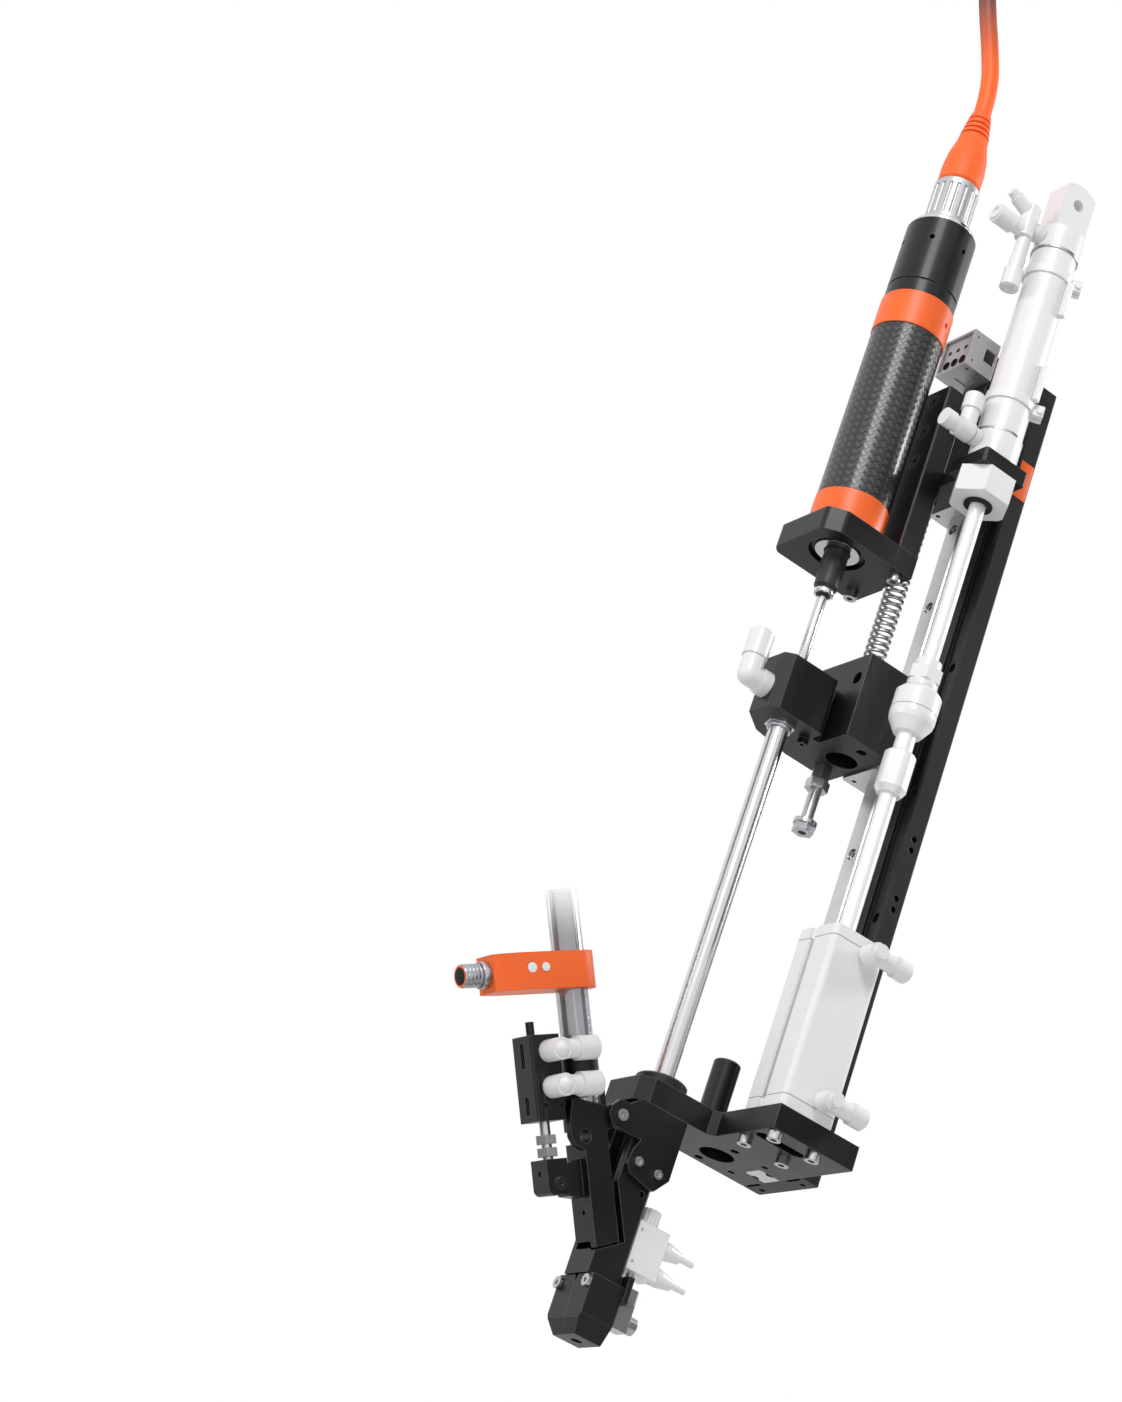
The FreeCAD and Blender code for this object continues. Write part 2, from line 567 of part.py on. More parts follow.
emit("driver_end_cap", cap)
z += CAP_H
PLUG_R = 9.0
col = turned([(0, z), (COLLAR2_R, z), (COLLAR2_R, z + 2.5), (COLLAR2_R - 4.0, z + COLLAR2_H),
              (PLUG_R, z + COLLAR2_H), (PLUG_R, z + COLLAR2_H + NUT_H - 6), (0, z + COLLAR2_H + NUT_H - 6)],
             0, 0)
emit("driver_socket", col)
z += COLLAR2_H
nut = rod(NUT_R, 0, 0, z + GAP, z + NUT_H).cut(rod(PLUG_R + RUN, 0, 0, z - 1, z + NUT_H - 5.5))
nut = nut.cut(rod(PLUG_R - 2, 0, 0, z - 1, z + NUT_H + 1))
RIBS = 18
for i in range(RIBS):
    a = 2 * math.pi * i / RIBS
    nut = nut.cut(rod(1.4, (NUT_R + 0.5) * math.cos(a), (NUT_R + 0.5) * math.sin(a),
                      z + 4, z + NUT_H - 4))
emit("coupling_nut", nut)
z += NUT_H
BZ = z + GAP
prof = [(0, BZ), (BOOT_R - 2.0, BZ), (BOOT_R, BZ + 3), (BOOT_R, BZ + 16), (BOOT_R - 1.0, BZ + 26),
        (BOOT_R - 4.2, BZ + 40), (BOOT_R - 4.4, BZ + 44), (CABLE_R + 1.2, BZ + BOOT_H - 2),
        (CABLE_R + 0.6, BZ + BOOT_H), (0, BZ + BOOT_H)]
boot = turned(prof, 0, 0)
for i in range(4):
    zz = BZ + 43 + i * 4.6
    boot = boot.cut(rod(20, 0, 0, zz, zz + 1.5).cut(rod(CABLE_R + 0.9, 0, 0, zz - 1, zz + 3)))
boot = boot.fuse(rod(PLUG_R - 2 - RUN, 0, 0, BZ - GAP - 6.0, BZ))
emit("cable_boot", boot)
CABLE_Z = BZ + BOOT_H

# chuck and drive shaft turn together
ck = turned([(0, FLANGE_Z0 + 4), (CHUCK_R - 0.4, FLANGE_Z0 + 4), (CHUCK_R - 0.4, FLANGE_Z0 - 6),
             (CHUCK_R, FLANGE_Z0 - 7), (CHUCK_R - 0.6, FLANGE_Z0 - 25), (CHUCK_R - 2.2, FLANGE_Z0 - 27),
             (CHUCK_R - 2.2, FLANGE_Z0 - 29), (CHUCK_R - 3.6, FLANGE_Z0 - 31), (0, FLANGE_Z0 - 31)], 0, 0)
emit("drive_spindle", ck.fuse(rod(SHAFT_R, 0, 0, SHAFT_Z0, FLANGE_Z0 - 14)))

# valve box on the plate behind the driver
VB_Z0, VB_Z1 = 554.0, 582.0
VB_X0, VB_X1 = 37.5, CARR_X - VPLATE_T
VB_Y = 15.5
vb = box(VB_X0, VB_X1, -VB_Y, VB_Y, VB_Z0, VB_Z1)
vb = vb.cut(box(VB_X0 - 1, VB_X0 + 1.4, -VB_Y + 2.0, VB_Y - 2.0, VB_Z0 + 1.8, VB_Z1 - 1.8))
for y in (-8.0, 0.0, 8.0):
    vb = vb.cut(along(2.6, (VB_X0, y, VB_Z0 + 7.0), (1, 0, 0), 5.0))
vb = vb.cut(box(VB_X0 + 12.0, VB_X0 + 21.0, -VB_Y - 1, -VB_Y + 0.5, VB_Z0 + 10.0, VB_Z0 + 20.0))
for z in (VB_Z0 + 5.0, VB_Z1 - 4.5):
    vb = vb.cut(along(1.0, (VB_X0 + 4.0, -VB_Y - 1, z), (0, 1, 0), 2.5))
vb = vb.cut(box(VB_X0 + 8.0, VB_X0 + 18.0, -5.0, 5.0, VB_Z0 - 1, VB_Z0 + 0.5))
for x in (VB_X0 + 5.0, VB_X0 + 13.0):
    vb = vb.cut(rod(1.3, x, -VB_Y + 4.0, VB_Z0 - 1, VB_Z0 + 1.5))
emit("valve_box", vb)

# ------------------------------------------------------------------ upper cylinder
UX, UY = LCYL_X, LCYL_Y
mp = box(FLANGE_X1, CARR_X, UY - 17.0, -ADAPT_Y, UCYL_Z0 - MPLATE_T, UCYL_Z0)
mp = mp.fuse(box(UX - 17.0, UX + 18.0, UY - 17.0, UY + 17.0, UCYL_Z0 - MPLATE_T, UCYL_Z0))
mp = mp.removeSplitter()
mp = chamfer(mp, 1.5, lambda e: upright(e) and e.CenterOfMass.y < UY)
THREAD_R = 10.5
mp = mp.cut(rod(THREAD_R + RUN, UX, UY, 400, 500))
emit("cylinder_mount_plate", mp)
hexn = hexagon(HEX_AF, UX, UY, UCYL_Z0 - MPLATE_T - HEX_H, UCYL_Z0 - MPLATE_T, 0)
hexn = hexn.common(cone(HEX_AF * 0.60 - 2, HEX_AF * 0.60 + 8, (UX, UY, UCYL_Z0 - MPLATE_T - HEX_H),
                        (0, 0, 1), 10).fuse(rod(HEX_AF * 0.60 + 8, UX, UY,
                                                UCYL_Z0 - MPLATE_T - HEX_H + 10, UCYL_Z0)))
fz = UCYL_Z0 + UCYL_FCAP
fc = rod(UCYL_CAP_R, UX, UY, UCYL_Z0, fz)
fc = chamfer(fc, 1.2, lambda e: abs(e.CenterOfMass.z - UCYL_Z0) < 1e-6)
fc = fc.fuse(rod(THREAD_R, UX, UY, UCYL_Z0 - MPLATE_T - HEX_H + 4, UCYL_Z0)).fuse(hexn)
fc = fc.cut(rod(UROD_R + RUN, UX, UY, 400, fz + 1))
FPORT_Z = UCYL_Z0 + 12.0
fc = fc.cut(along(3.0, (UX - UCYL_CAP_R - 1, UY, FPORT_Z), (1, 0, 0), 6))
emit("upper_cylinder_front_cap", fc)
tz = fz + UCYL_TUBE
ut = rod(UCYL_R, UX, UY, fz, tz).cut(rod(UCYL_R - 2.0, UX, UY, fz - 1, tz + 1))
emit("upper_cylinder_tube", ut)
rz = tz + UCYL_RCAP
rc = rod(UCYL_CAP_R, UX, UY, tz, rz)
RPORT_Z = tz + 9.0
tang = box(UX - TANG_W / 2, UX + TANG_W / 2, UY - TANG_T / 2, UY + TANG_T / 2, rz - 1, rz + TANG_H)
tang = tang.common(along(19.5, (UX, UY - 20, rz + TANG_H - 19.5), (0, 1, 0), 40).fuse(
    box(UX - 20, UX + 20, UY - 20, UY + 20, rz - 2, rz + TANG_H - 19.5)))
TANG_Z = rz + TANG_H - 15.0
tang = tang.cut(along(TANG_R, (UX, UY - 20, TANG_Z), (0, 1, 0), 40))
rc = rc.fuse(tang).cut(along(3.0, (UX - UCYL_CAP_R - 1, UY, RPORT_Z), (1, 0, 0), 6))
emit("upper_cylinder_rear_cap", rc)


def band(z0):
    """Switch band round the tube, with its clamping lugs."""
    b = rod(UCYL_R + 1.3, UX, UY, z0, z0 + 7.0)
    a = math.radians(-32)
    lug = box(UCYL_R - 0.5, UCYL_R + 7.5, -4.5, 4.5, z0 - 0.5, z0 + 7.5)
    lug = fillet(lug, 1.2, upright)
    lug = lug.cut(box(UCYL_R + 1.8, UCYL_R + 9, -0.8, 0.8, z0 - 2, z0 + 9))
    lug = lug.fuse(Part.makeCylinder(2.4, 12.0, V(UCYL_R + 5.0, -6.0, z0 + 3.5), V(0, 1, 0)))
    lug.rotate(V(0, 0, 0), V(0, 0, 1), math.degrees(a))
    lug.translate(V(UX, UY, 0))
    return b.fuse(lug).cut(rod(UCYL_R, UX, UY, z0 - 2, z0 + 10))


BANDS = (fz + 24.0, tz - 21.0)
emit("switch_bands", [band(z_) for z_ in BANDS])


def reed(z0, up):
    """Proximity switch lying along the tube, held by its band."""
    a = math.radians(-62)
    rc_ = box(UCYL_R, UCYL_R + 4.2, -2.3, 2.3, 0, 26)
    rc_ = fillet(rc_, 1.0, upright)
    rc_.rotate(V(0, 0, 0), V(0, 0, 1), math.degrees(a))
    rc_.translate(V(UX, UY, z0 + 7.0 if up else z0 - 26.0))
    return rc_


emit("reed_switches", [reed(BANDS[0], True), reed(BANDS[1], False)])


def port_body(z0, run):
    """Threaded stem on the cylinder's -x side and the round body that it enters."""
    p = along(2.9, (UX - UCYL_CAP_R + 4, UY, z0), (-1, 0, 0), 4.0)
    p = p.fuse(along(6.0, (UX - UCYL_CAP_R, UY, z0), (-1, 0, 0), 5.0))
    return p.fuse(along(4.6, (UX - UCYL_CAP_R - 5.0, UY, z0), (-1, 0, 0), run))


# rear: tee with needle valve on top, side push-in and lower push-in
TX = UX - UCYL_CAP_R - 12.0
TZ = RPORT_Z
tee = port_body(TZ, 8.0).fuse(rod(6.0, TX, UY, TZ - 10, TZ + 14.0))
tee = tee.fuse(along(4.8, (TX, UY, TZ + 9.0), (-0.93, 0, 0.36), 15.0))
tee = tee.fuse(along(3.6, (TX - 13.9, UY, TZ + 14.4), (-0.93, 0, 0.36), 5.0))
tee = tee.fuse(along(4.6, (TX, UY, TZ - 6.0), (-1, 0, 0), 12.0))
tee = tee.fuse(along(6.6, (TX - 11.0, UY, TZ - 6.0), (-1, 0, 0), 14.0))
tee = tee.fuse(rod(4.6, TX + 1, UY, TZ - 28.0, TZ - 9.0))
tee = tee.fuse(rod(6.4, TX + 1, UY, TZ - 50.0, TZ - 36.0)).fuse(rod(5.0, TX + 1, UY, TZ - 37.0, TZ - 26.0))
tee = tee.cut(rod(3.4, TX + 1, UY, TZ - 51.0, TZ - 40.0))
tee = tee.cut(along(3.2, (TX - 19.0, UY, TZ - 6.0), (-1, 0, 0), 8.0))
# front: speed controller with knob to the side and push-in sleeve pointing up
FX = UX - UCYL_CAP_R - 10.0
fe = port_body(FPORT_Z, 6.0).fuse(along(6.8, (FX + 4, UY, FPORT_Z), (-1, 0, 0), 11.0))
fe = fe.fuse(along(5.2, (FX - 7, UY, FPORT_Z), (-1, 0, 0), 4.0)).fuse(
    along(6.0, (FX - 11, UY, FPORT_Z), (-1, 0, 0), 7.0))
fe = fe.fuse(rod(5.6, FX, UY, FPORT_Z, FPORT_Z + 15.0)).fuse(rod(6.7, FX, UY, FPORT_Z + 15.0,
                                                              FPORT_Z + 26.0))
fe = fe.cut(rod(3.1, FX, UY, FPORT_Z + 18.0, FPORT_Z + 27.0))
emit("upper_flow_fittings", [tee, fe])

# ------------------------------------------------------------------ rods and floating joint
ROD_TOP = fz + 8.0
emit("upper_rod", rod(UROD_R, UX, UY, FJ_Z[4] - 6, ROD_TOP + 10).fuse(
    rod(UCYL_R - 2.0 - RUN, UX, UY, fz + 6, fz + 18)))
fj = turned([(0, FJ_Z[2]), (FJ_R[2] - 5.5, FJ_Z[2]), (FJ_R[2] - 0.6, FJ_Z[2] + 8), (FJ_R[2], FJ_Z[2] + 11),
             (FJ_R[2], FJ_Z[3] - 3), (FJ_R[2] - 2.5, FJ_Z[3]), (FJ_R[3], FJ_Z[3]), (FJ_R[3], FJ_Z[4]),
             (0, FJ_Z[4])], UX, UY)
fn = hexagon(19.0, UX, UY, FJ_Z[4], FJ_Z[5] - 6, 0).fuse(rod(8.2, UX, UY, FJ_Z[5] - 6, FJ_Z[5]))
fj = fj.fuse(fn).cut(rod(UROD_R, UX, UY, FJ_Z[4] - 6, FJ_Z[5] + 1))
emit("floating_joint_body", fj)
ls = turned([(0, FJ_Z[0]), (FJ_R[0] - 2.5, FJ_Z[0]), (FJ_R[0], FJ_Z[0] + 4), (FJ_R[0], FJ_Z[1] - 2),
             (FJ_R[0] - 2, FJ_Z[1]), (FJ_R[1], FJ_Z[1]), (FJ_R[1], FJ_Z[2]), (0, FJ_Z[2])], UX, UY)
LROD_Z0 = LC_Z1 - LCYL_HEAD - PISTON_H
lo = rod(LROD_R, UX, UY, LROD_Z0, FJ_Z[0]).fuse(rod(PISTON_R, UX, UY, LROD_Z0, LROD_Z0 + PISTON_H - 0.5))
emit("lower_rod", lo.fuse(ls))

# ------------------------------------------------------------------ nose
FA = math.radians(FEED_ANGLE)


def lean(shape):
    """Turn a shape built about the z axis so that it lies on the feed tube's axis.

    Local z runs up along the feed tube from where it meets the tool axis and
    local -x is the tool's side, so local coordinates are (left, y, along)."""
    s = shape.copy()
    s.rotate(V(0, 0, 0), V(0, 0, 1), 180)
    s.rotate(V(0, 0, 0), V(0, 1, 0), -FEED_ANGLE)
    s.translate(V(0, 0, FEED_MEET))
    return s


def lbox(v0, v1, y0, y1, u0, u1):
    """Box in the leaning frame: v to the left, u up along the feed tube."""
    return lean(box(v0, v1, -y1, -y0, u0, u1))


def lplate(pts, y0, y1):
    return lean(slab(pts, -y1, -y0))


def swung(shape, angle):
    s = shape.copy()
    s.rotate(V(PIVOT_X, 0, PIVOT_Z), V(0, 1, 0), angle)
    return s


SC_V = 27.7           # swing cylinder's axis beside the tube's
# feed arm: front plate, channel block round the tube
ARM_F0 = -NOSE_Y + GAP
ARM_F1 = -7.0
arm_front = lplate([(9.8, 10.5), (9.8, 64), (15.5, 67), (18.0, 72), (18.0, 80), (15.0, 93), (11.0, 93),
                    (-8.0, 87.5), (-19.5, 87.5), (-19.5, 76), (-6.0, 74.5), (-6.0, 12.5)], ARM_F0, ARM_F1)
ARM_U1 = 104.0
arm_back = lplate([(9.8, 14), (9.8, ARM_U1), (-10.5, ARM_U1), (-10.5, 76), (-6.5, 62), (-6.5, 14)],
                  ARM_F1, 8.0)
TUBE_WAY = TUBE_R + 1.0
arm_back = arm_back.cut(box(-TUBE_WAY, 60, -20, 20, -200, 60))
arm_back = arm_back.cut(lean(rod(FEED_R, 0, 0, FEED_U0, 140)))
arm_back = arm_back.cut(lean(rod(5.0, 0, 0, 0, 140)))
arm = arm_front.fuse(arm_back).removeSplitter()
arm = arm.cut(lean(rod(FEED_R, 0, 0, FEED_U0, 140)))
arm = arm.cut(lean(along(3.7, (8.7, -20, 71.7), (0, 1, 0), 40)))
arm = arm.cut(along(PIVOT_R + RUN, (PIVOT_X, -30, PIVOT_Z), (0, 1, 0), 60))
for u_ in (30.0,):
    arm = arm.cut(lean(along(1.6, (4.0, 3.0, u_), (1, 0, 0), 20)))
gl = lplate([(9.8, 38), (9.8, 60), (SC_V - 7.4 - GAP, 58), (SC_V - 7.4 - GAP, 40)], -5.5, 5.5)
arm = arm.fuse(gl)
HOLD_R = 10.7
HOLD_U1 = 118.0
hold = rod(HOLD_R, 0, 0, ARM_U1, HOLD_U1).cut(rod(FEED_R, 0, 0, 100, 120))
emit("feed_arm", arm.fuse(lean(hold)))
ft_ = lean(rod(FEED_R, 0, 0, FEED_U0, FEED_U1).cut(rod(FEED_BORE_R, 0, 0, FEED_U0 - 1, FEED_U1 + 1)))
emit("feed_tube", ft_)

# ring sensor on the feed tube with its plug connector
SEN0, SEN1 = 155.0, 176.0
ring = rod(14.0, 0, 0, SEN0, SEN1).fuse(box(0, 40, -14, 14, SEN0, SEN1))
ring = ring.fuse(prism([(40, -14), (52, -11), (56, -8.5), (56, 8.5), (52, 11), (40, 14)], SEN0, SEN1))
ring = ring.removeSplitter().cut(rod(FEED_R, 0, 0, SEN0 - 1, SEN1 + 1))
ring = ring.cut(along(3.1, (33.9, 10, 167.5), (0, 1, 0), 10).fuse(along(2.6, (24.8, 10, 167.0), (0, 1, 0), 10))
                .cut(box(0, 60, -30, 13.4, 100, 200)))
m12 = along(7.4, (56, 0, 165.5), (1, 0, 0), 5.0).fuse(along(6.2, (61, 0, 165.5), (1, 0, 0), 12.0))
m12 = m12.cut(along(5.0, (68, 0, 165.5), (1, 0, 0), 6.0)).fuse(along(3.6, (67, 0, 165.5), (1, 0, 0), 4.0))
emit("ring_sensor", lean(ring.fuse(m12)))

# swing cylinder beside the tube, its fittings, rod, nuts and clevis
SC_U0, SC_U1 = 82.0, 130.0
SC_H = 9.8
sc = box(SC_V - SC_H, SC_V + SC_H, -SC_H, SC_H, SC_U0, SC_U1)
sc = fillet(sc, 1.2, upright)
for yy in (-SC_H, SC_H):
    sc = sc.cut(box(SC_V + SC_H - 5.5, SC_V + SC_H - 3.0, yy - 1.5, yy + 1.5, SC_U0 - 1, SC_U0 + 26))
sc = sc.cut(box(SC_V + SC_H - 1.5, SC_V + SC_H + 1, -2.0, 2.0, SC_U0 + 30, SC_U0 + 44))
sc = sc.cut(box(SC_V + SC_H - 1.5, SC_V + SC_H + 1, -2.0, 2.0, SC_U0 + 4, SC_U0 + 14))
for vv, uu in ((31.0, 90.5), (21.0, 90.5)):
    sc = sc.cut(along(1.7, (vv, SC_H - 2, uu), (0, 1, 0), 5))
sc = sc.fuse(rod(2.4, SC_V + 3, 0, SC_U1, SC_U1 + 8)).cut(rod(3.0 + RUN, SC_V, 0, SC_U0 - 1, SC_U1 - 6))
sc = sc.fuse(box(9.8, SC_V - SC_H, -6, 6, SC_U0 + 2, SC_U0 + 20))
emit("swing_cylinder", lean(sc))


def swing_fit(u0):
    """Banjo on the cylinder's front face with its sleeve turned towards the tube."""
    y = SC_H
    off = 8.4
    f = along(6.4, (SC_V - 1.5, y, u0), (0, 1, 0), off + 6.0)
    f = f.fuse(Part.makeSphere(4.6, V(SC_V - 1.5, y + off + 5.0, u0)))
    f = f.fuse(along(5.6, (SC_V - 1.5, y + off, u0), (-1, 0, 0), 13.0))
    f = f.fuse(along(7.0, (SC_V - 14.0, y + off, u0), (-1, 0, 0), 13.0))
    return lean(f.cut(along(3.2, (SC_V - 22.0, y + off, u0), (-1, 0, 0), 6.0)))


emit("swing_fittings", [swing_fit(120.5), swing_fit(100.5)])
SR0 = 61.0
sr = rod(3.0, SC_V, 0, SR0, SC_U1 - 8)
for a in (69.5, 62.5):
    sr = sr.fuse(hexagon(11.0, SC_V, 0, a, a + 5.0, 0))
emit("swing_rod", lean(sr))
clv = box(SC_V - 7.4, SC_V + 6.5, -8.0, 8.0, 41.0, 61.0)
clv = fillet(clv, 4.0, lambda e: not upright(e) and abs(e.CenterOfMass.z - 41.0) < 0.01
             and e.CenterOfMass.x > SC_V + 6 and e.BoundBox.YLength > 10)
clv = clv.cut(box(SC_V - 8, SC_V + 2, -3.0, 3.0, 40, 52))
clv = clv.cut(along(1.9, (SC_V + 5.0, 0, 53), (1, 0, 0), 5))
cb = along(2.0, (SC_V - 1.0, -8.0, 47.3), (0, 1, 0), 16.0).fuse(
    along(3.5, (SC_V - 1.0, 8.0, 47.3), (0, 1, 0), 2.2))
cb = cb.cut(along(1.4, (SC_V - 1.0, 9.2, 47.3), (0, 1, 0), 2.0))
emit("swing_clevis", lean(clv.fuse(cb)))

# nose body with the pocket that the arm swings in
nose = box(NOSE_X0, NOSE_X1, -NOSE_Y, NOSE_Y, -NOSE_H, 0)
for a in (0, 2.5, 5.0, 7.5, 10.0, 12.0):
    grown = lplate([(25, 7.5), (25, 110), (-9.5, 110), (-9.5, 11.5)], -NOSE_Y - 1, ARM_F1 + GAP * 2)
    nose = nose.cut(swung(grown, a))
nose = nose.cut(box(NOSE_X0 - 1, -TUBE_WAY + GAP * 2, ARM_F1, 8.6, -89.0, 1))
nose = nose.cut(rod(TUBE_R + 0.4, 0, 0, -NOSE_H - 1, 1))
nose = nose.cut(along(1.8, (3.5, -NOSE_Y - 1, -49.0), (0, 1, 0), 5))
nose = chamfer(nose, 2.0, lambda e: upright(e) and e.CenterOfMass.x > NOSE_X1 - 0.1)
hanger = box(NOSE_X1, HANGER_X1, -JP_Y - 3.4, JP_Y + 3.4, JP_Z - 3.6, -NOSE_H + 7.0)
nose = nose.fuse(hanger).cut(rod(TUBE_R + 0.4, 0, 0, -NOSE_H - 1, 1))
for s in (-1, 1):
    nose = nose.cut(along(JAW_PIN_R, (NOSE_X1 - 1, s * JP_Y, JP_Z), (1, 0, 0), 10))
emit("nose_body", nose)
sp = [(15.5, 0), (15.5, -36), (8, -45.5), (4, -46), (-11, -42.5), (-14.0, -38), (-13.5, -30),
      (-10.5, -22), (-19, -22.5), (-23, -22.6), (-31, -22), (-35.0, -17), (-35.0, -12), (-31, -6.5),
      (-24, -6.0), (-19, -1.5), (-17, 0)]
side_plates = []
for s in (-1, 1):
    y0 = s * NOSE_Y if s > 0 else -NOSE_Y - SIDE_T
    pl = slab(sp, y0, y0 + SIDE_T)
    pl = pl.cut(along(PIVOT_R, (PIVOT_X, y0 - 1, PIVOT_Z), (0, 1, 0), SIDE_T + 2))
    for x, z_ in ((-8.0, -34.5), (6.5, -36.0)):
        pl = pl.cut(along(2.0, (x, y0 - 1, z_), (0, 1, 0), SIDE_T + 2))
    side_plates.append(pl)
emit("nose_side_plates", side_plates)
pv = along(PIVOT_R, (PIVOT_X, -NOSE_Y - SIDE_T, PIVOT_Z), (0, 1, 0), 2 * (NOSE_Y + SIDE_T))
pv = pv.fuse(along(3.4, (PIVOT_X, -NOSE_Y - SIDE_T, PIVOT_Z), (0, -1, 0), 2.6))
pv = pv.cut(along(1.7, (PIVOT_X, -NOSE_Y - SIDE_T - 3, PIVOT_Z), (0, 1, 0), 2.5))
ns = [pv]
for x, z_ in ((-8.0, -34.5), (6.5, -36.0)):
    s = along(2.0, (x, -NOSE_Y - SIDE_T, z_), (0, 1, 0), SIDE_T)
    s = s.fuse(along(2.8, (x, -NOSE_Y - SIDE_T, z_), (0, -1, 0), 2.2))
    ns.append(s.cut(along(1.4, (x, -NOSE_Y - SIDE_T - 3, z_), (0, 1, 0), 2.0)))
emit("side_plate_bolts", ns)

# small cylinder that opens the jaws
NC_X0, NC_X1 = NOSE_X1, 31.5
nc = box(NC_X0, NC_X1, -9.5, 8.0, -90.0, -61.0)
nc = fillet(nc, 0.8, upright)
NC_AX = 19.0
nc = nc.cut(rod(2.5 + RUN, NC_AX, -1, -91, -62.5))
for z_ in (-66.0, -85.0):
    nc = nc.cut(along(1.0, (NC_X0 + 3.0, -10, z_), (0, 1, 0), 2))
nc = nc.cut(box(NC_X0 - 1, NC_X0 + 2, -13, 13, -95, -60).common(box(0, NC_X0, -20, 20, -99, 0)))
kn = rod(6.6, NC_AX, -1, -61.0, -51.5)
for i in range(14):
    a = 2 * math.pi * i / 14
    kn = kn.cut(rod(0.7, NC_AX + 6.7 * math.cos(a), -1 + 6.7 * math.sin(a), -60.0, -51))
emit("jaw_cylinder", nc.fuse(kn))
jf = []
for z_ in (-68.6, -84.8):
    f = along(5.6, (NC_X1, -2, z_), (1, 0, 0), 5.0).fuse(cone(5.6, 3.6, (NC_X1 + 5, -2, z_), (1, 0, 0), 9.0))
    f = f.fuse(along(1.8, (NC_X1 + 14, -2, z_), (1, 0, 0), 10.0))
    jf.append(f.cut(along(0.9, (NC_X1 + 14, -2, z_), (1, 0, 0), 11.0)))
emit("jaw_cylinder_fittings", jf)
yk = box(HANGER_X1 + GAP, 25.0, -9.0, 6.0, -107.0, -99.0)
yk = chamfer(yk, 2.0, lambda e: upright(e) and e.CenterOfMass.x > 24)
yk = yk.fuse(rod(2.5, NC_AX, -1, -99.0, -68.0))
yk = yk.fuse(box(HANGER_X1 + 3.0, 25.5, -6.0, 4.0, -123.0, -107.0))
yk = yk.fuse(along(5.2, (25.5, -1, -116.5), (1, 0, 0), 5.5))
emit("jaw_yoke", yk)

# jaws: two halves that part at y = 0, each on a pin along x


def jaw(s):
    """s = -1 front jaw, +1 rear jaw; the top is relieved so that it can swing open."""
    top = -NOSE_H - GAP
    w_ = [(s * GAP / 2, JP_Z), (s * 1.8, top), (s * 17.0, top), (s * 17.0, -126.5),
          (s * 11.0, JAW_Z0), (s * GAP / 2, JAW_Z0)]
    poly = [V(JAW_X0, y, z_) for y, z_ in w_]
    j = Part.Face(Part.makePolygon(poly + [poly[0]])).extrude(V(NOSE_X1 - GAP - JAW_X0, 0, 0))
    j = j.cut(slab([(JAW_X0 - 1, -127.0), (JAW_X0 - 1, JAW_Z0 - 1), (JAW_X0 + 4.5, JAW_Z0 - 1)], -30, 30))
    j = j.cut(rod(TUBE_R + 0.5, 0, 0, -127.0, -NOSE_H))
    j = j.cut(cone(TUBE_R + 0.5, TUBE_R + 2.0, (0, 0, JP_Z), (0, 0, 1), top - JP_Z))
    j = j.cut(cone(3.4, TUBE_R + 0.5, (0, 0, -131.0), (0, 0, 1), 4.0)).cut(rod(3.4, 0, 0, -140, -130))
    j = j.cut(along(JAW_PIN_R + RUN, (JAW_X0 - 1, s * JP_Y, JP_Z), (1, 0, 0), 50))
    return j


emit("front_jaw", jaw(-1))
emit("rear_jaw", jaw(1))
pins = []
for s in (-1, 1):
    p = along(JAW_PIN_R, (JAW_X0 - GAP, s * JP_Y, JP_Z), (1, 0, 0), HANGER_X1 - JAW_X0 + GAP)
    p = p.fuse(along(3.6, (JAW_X0 - GAP, s * JP_Y, JP_Z), (-1, 0, 0), 2.2))
    pins.append(p.cut(along(1.4, (JAW_X0 - GAP - 3, s * JP_Y, JP_Z), (1, 0, 0), 2.2)))
emit("jaw_pins", pins)

# ------------------------------------------------------------------ power cable
# straight out of the boot, then up and away to the machine's cable carrier
ROUTE = [V(0, 0, CABLE_Z), V(0, 0, CABLE_Z + 24), V(-10, 0, CABLE_Z + 52),
         V(-22, 1, CABLE_Z + 81), V(-33, 2, CABLE_Z + 114)]


def cable_path(pts):
    """Straight runs joined by tangent arcs; returns the wire's edges and its length."""
    edges, length, start = [], 0.0, pts[0]
    for a, b, c in zip(pts, pts[1:], pts[2:]):
        d0, d1 = (b - a).normalize(), (c - b).normalize()
        half = d0.getAngle(d1) / 2
        trim = 0.45 * min((b - a).Length, (c - b).Length)
        radius = trim / math.tan(half)
        print("bend radius", round(radius, 1))
        p0, p1 = b - d0 * trim, b + d1 * trim
        mid = b + (d1 - d0).normalize() * (radius / math.cos(half) - radius)
        edges.append(Part.makeLine(start, p0))
        edges.append(Part.Arc(p0, mid, p1).toShape())
        length += (p0 - start).Length + radius * 2 * half
        start = p1
    edges.append(Part.makeLine(start, pts[-1]))
    return edges, length + (pts[-1] - start).Length


edges, cable_l = cable_path(ROUTE)
ring_ = Part.Wire(Part.makeCircle(CABLE_R, ROUTE[0], V(0, 0, 1)))
cable = Part.Wire(edges).makePipeShell([ring_], True, False)
print("cable", round(cable_l, 1), "mm, volume ratio",
      round(cable.Volume / (math.pi * CABLE_R ** 2 * cable_l), 4))
emit("power_cable", cable)
end, way = ROUTE[-1], (ROUTE[-1] - ROUTE[-2]).normalize()
cc = Part.makeCylinder(8.0, 6.0, end, way).fuse(Part.makeCylinder(9.0, 16.0, end + way * 6, way))
cc = cc.fuse(Part.makeCylinder(10.0, 20.0, end + way * 22, way))
cc = cc.cut(Part.makeCylinder(8.2, 12.0, end + way * 31, way))
emit("cable_connector", cc)
print("cable starts at z", CABLE_Z)
print("parts", len(names))
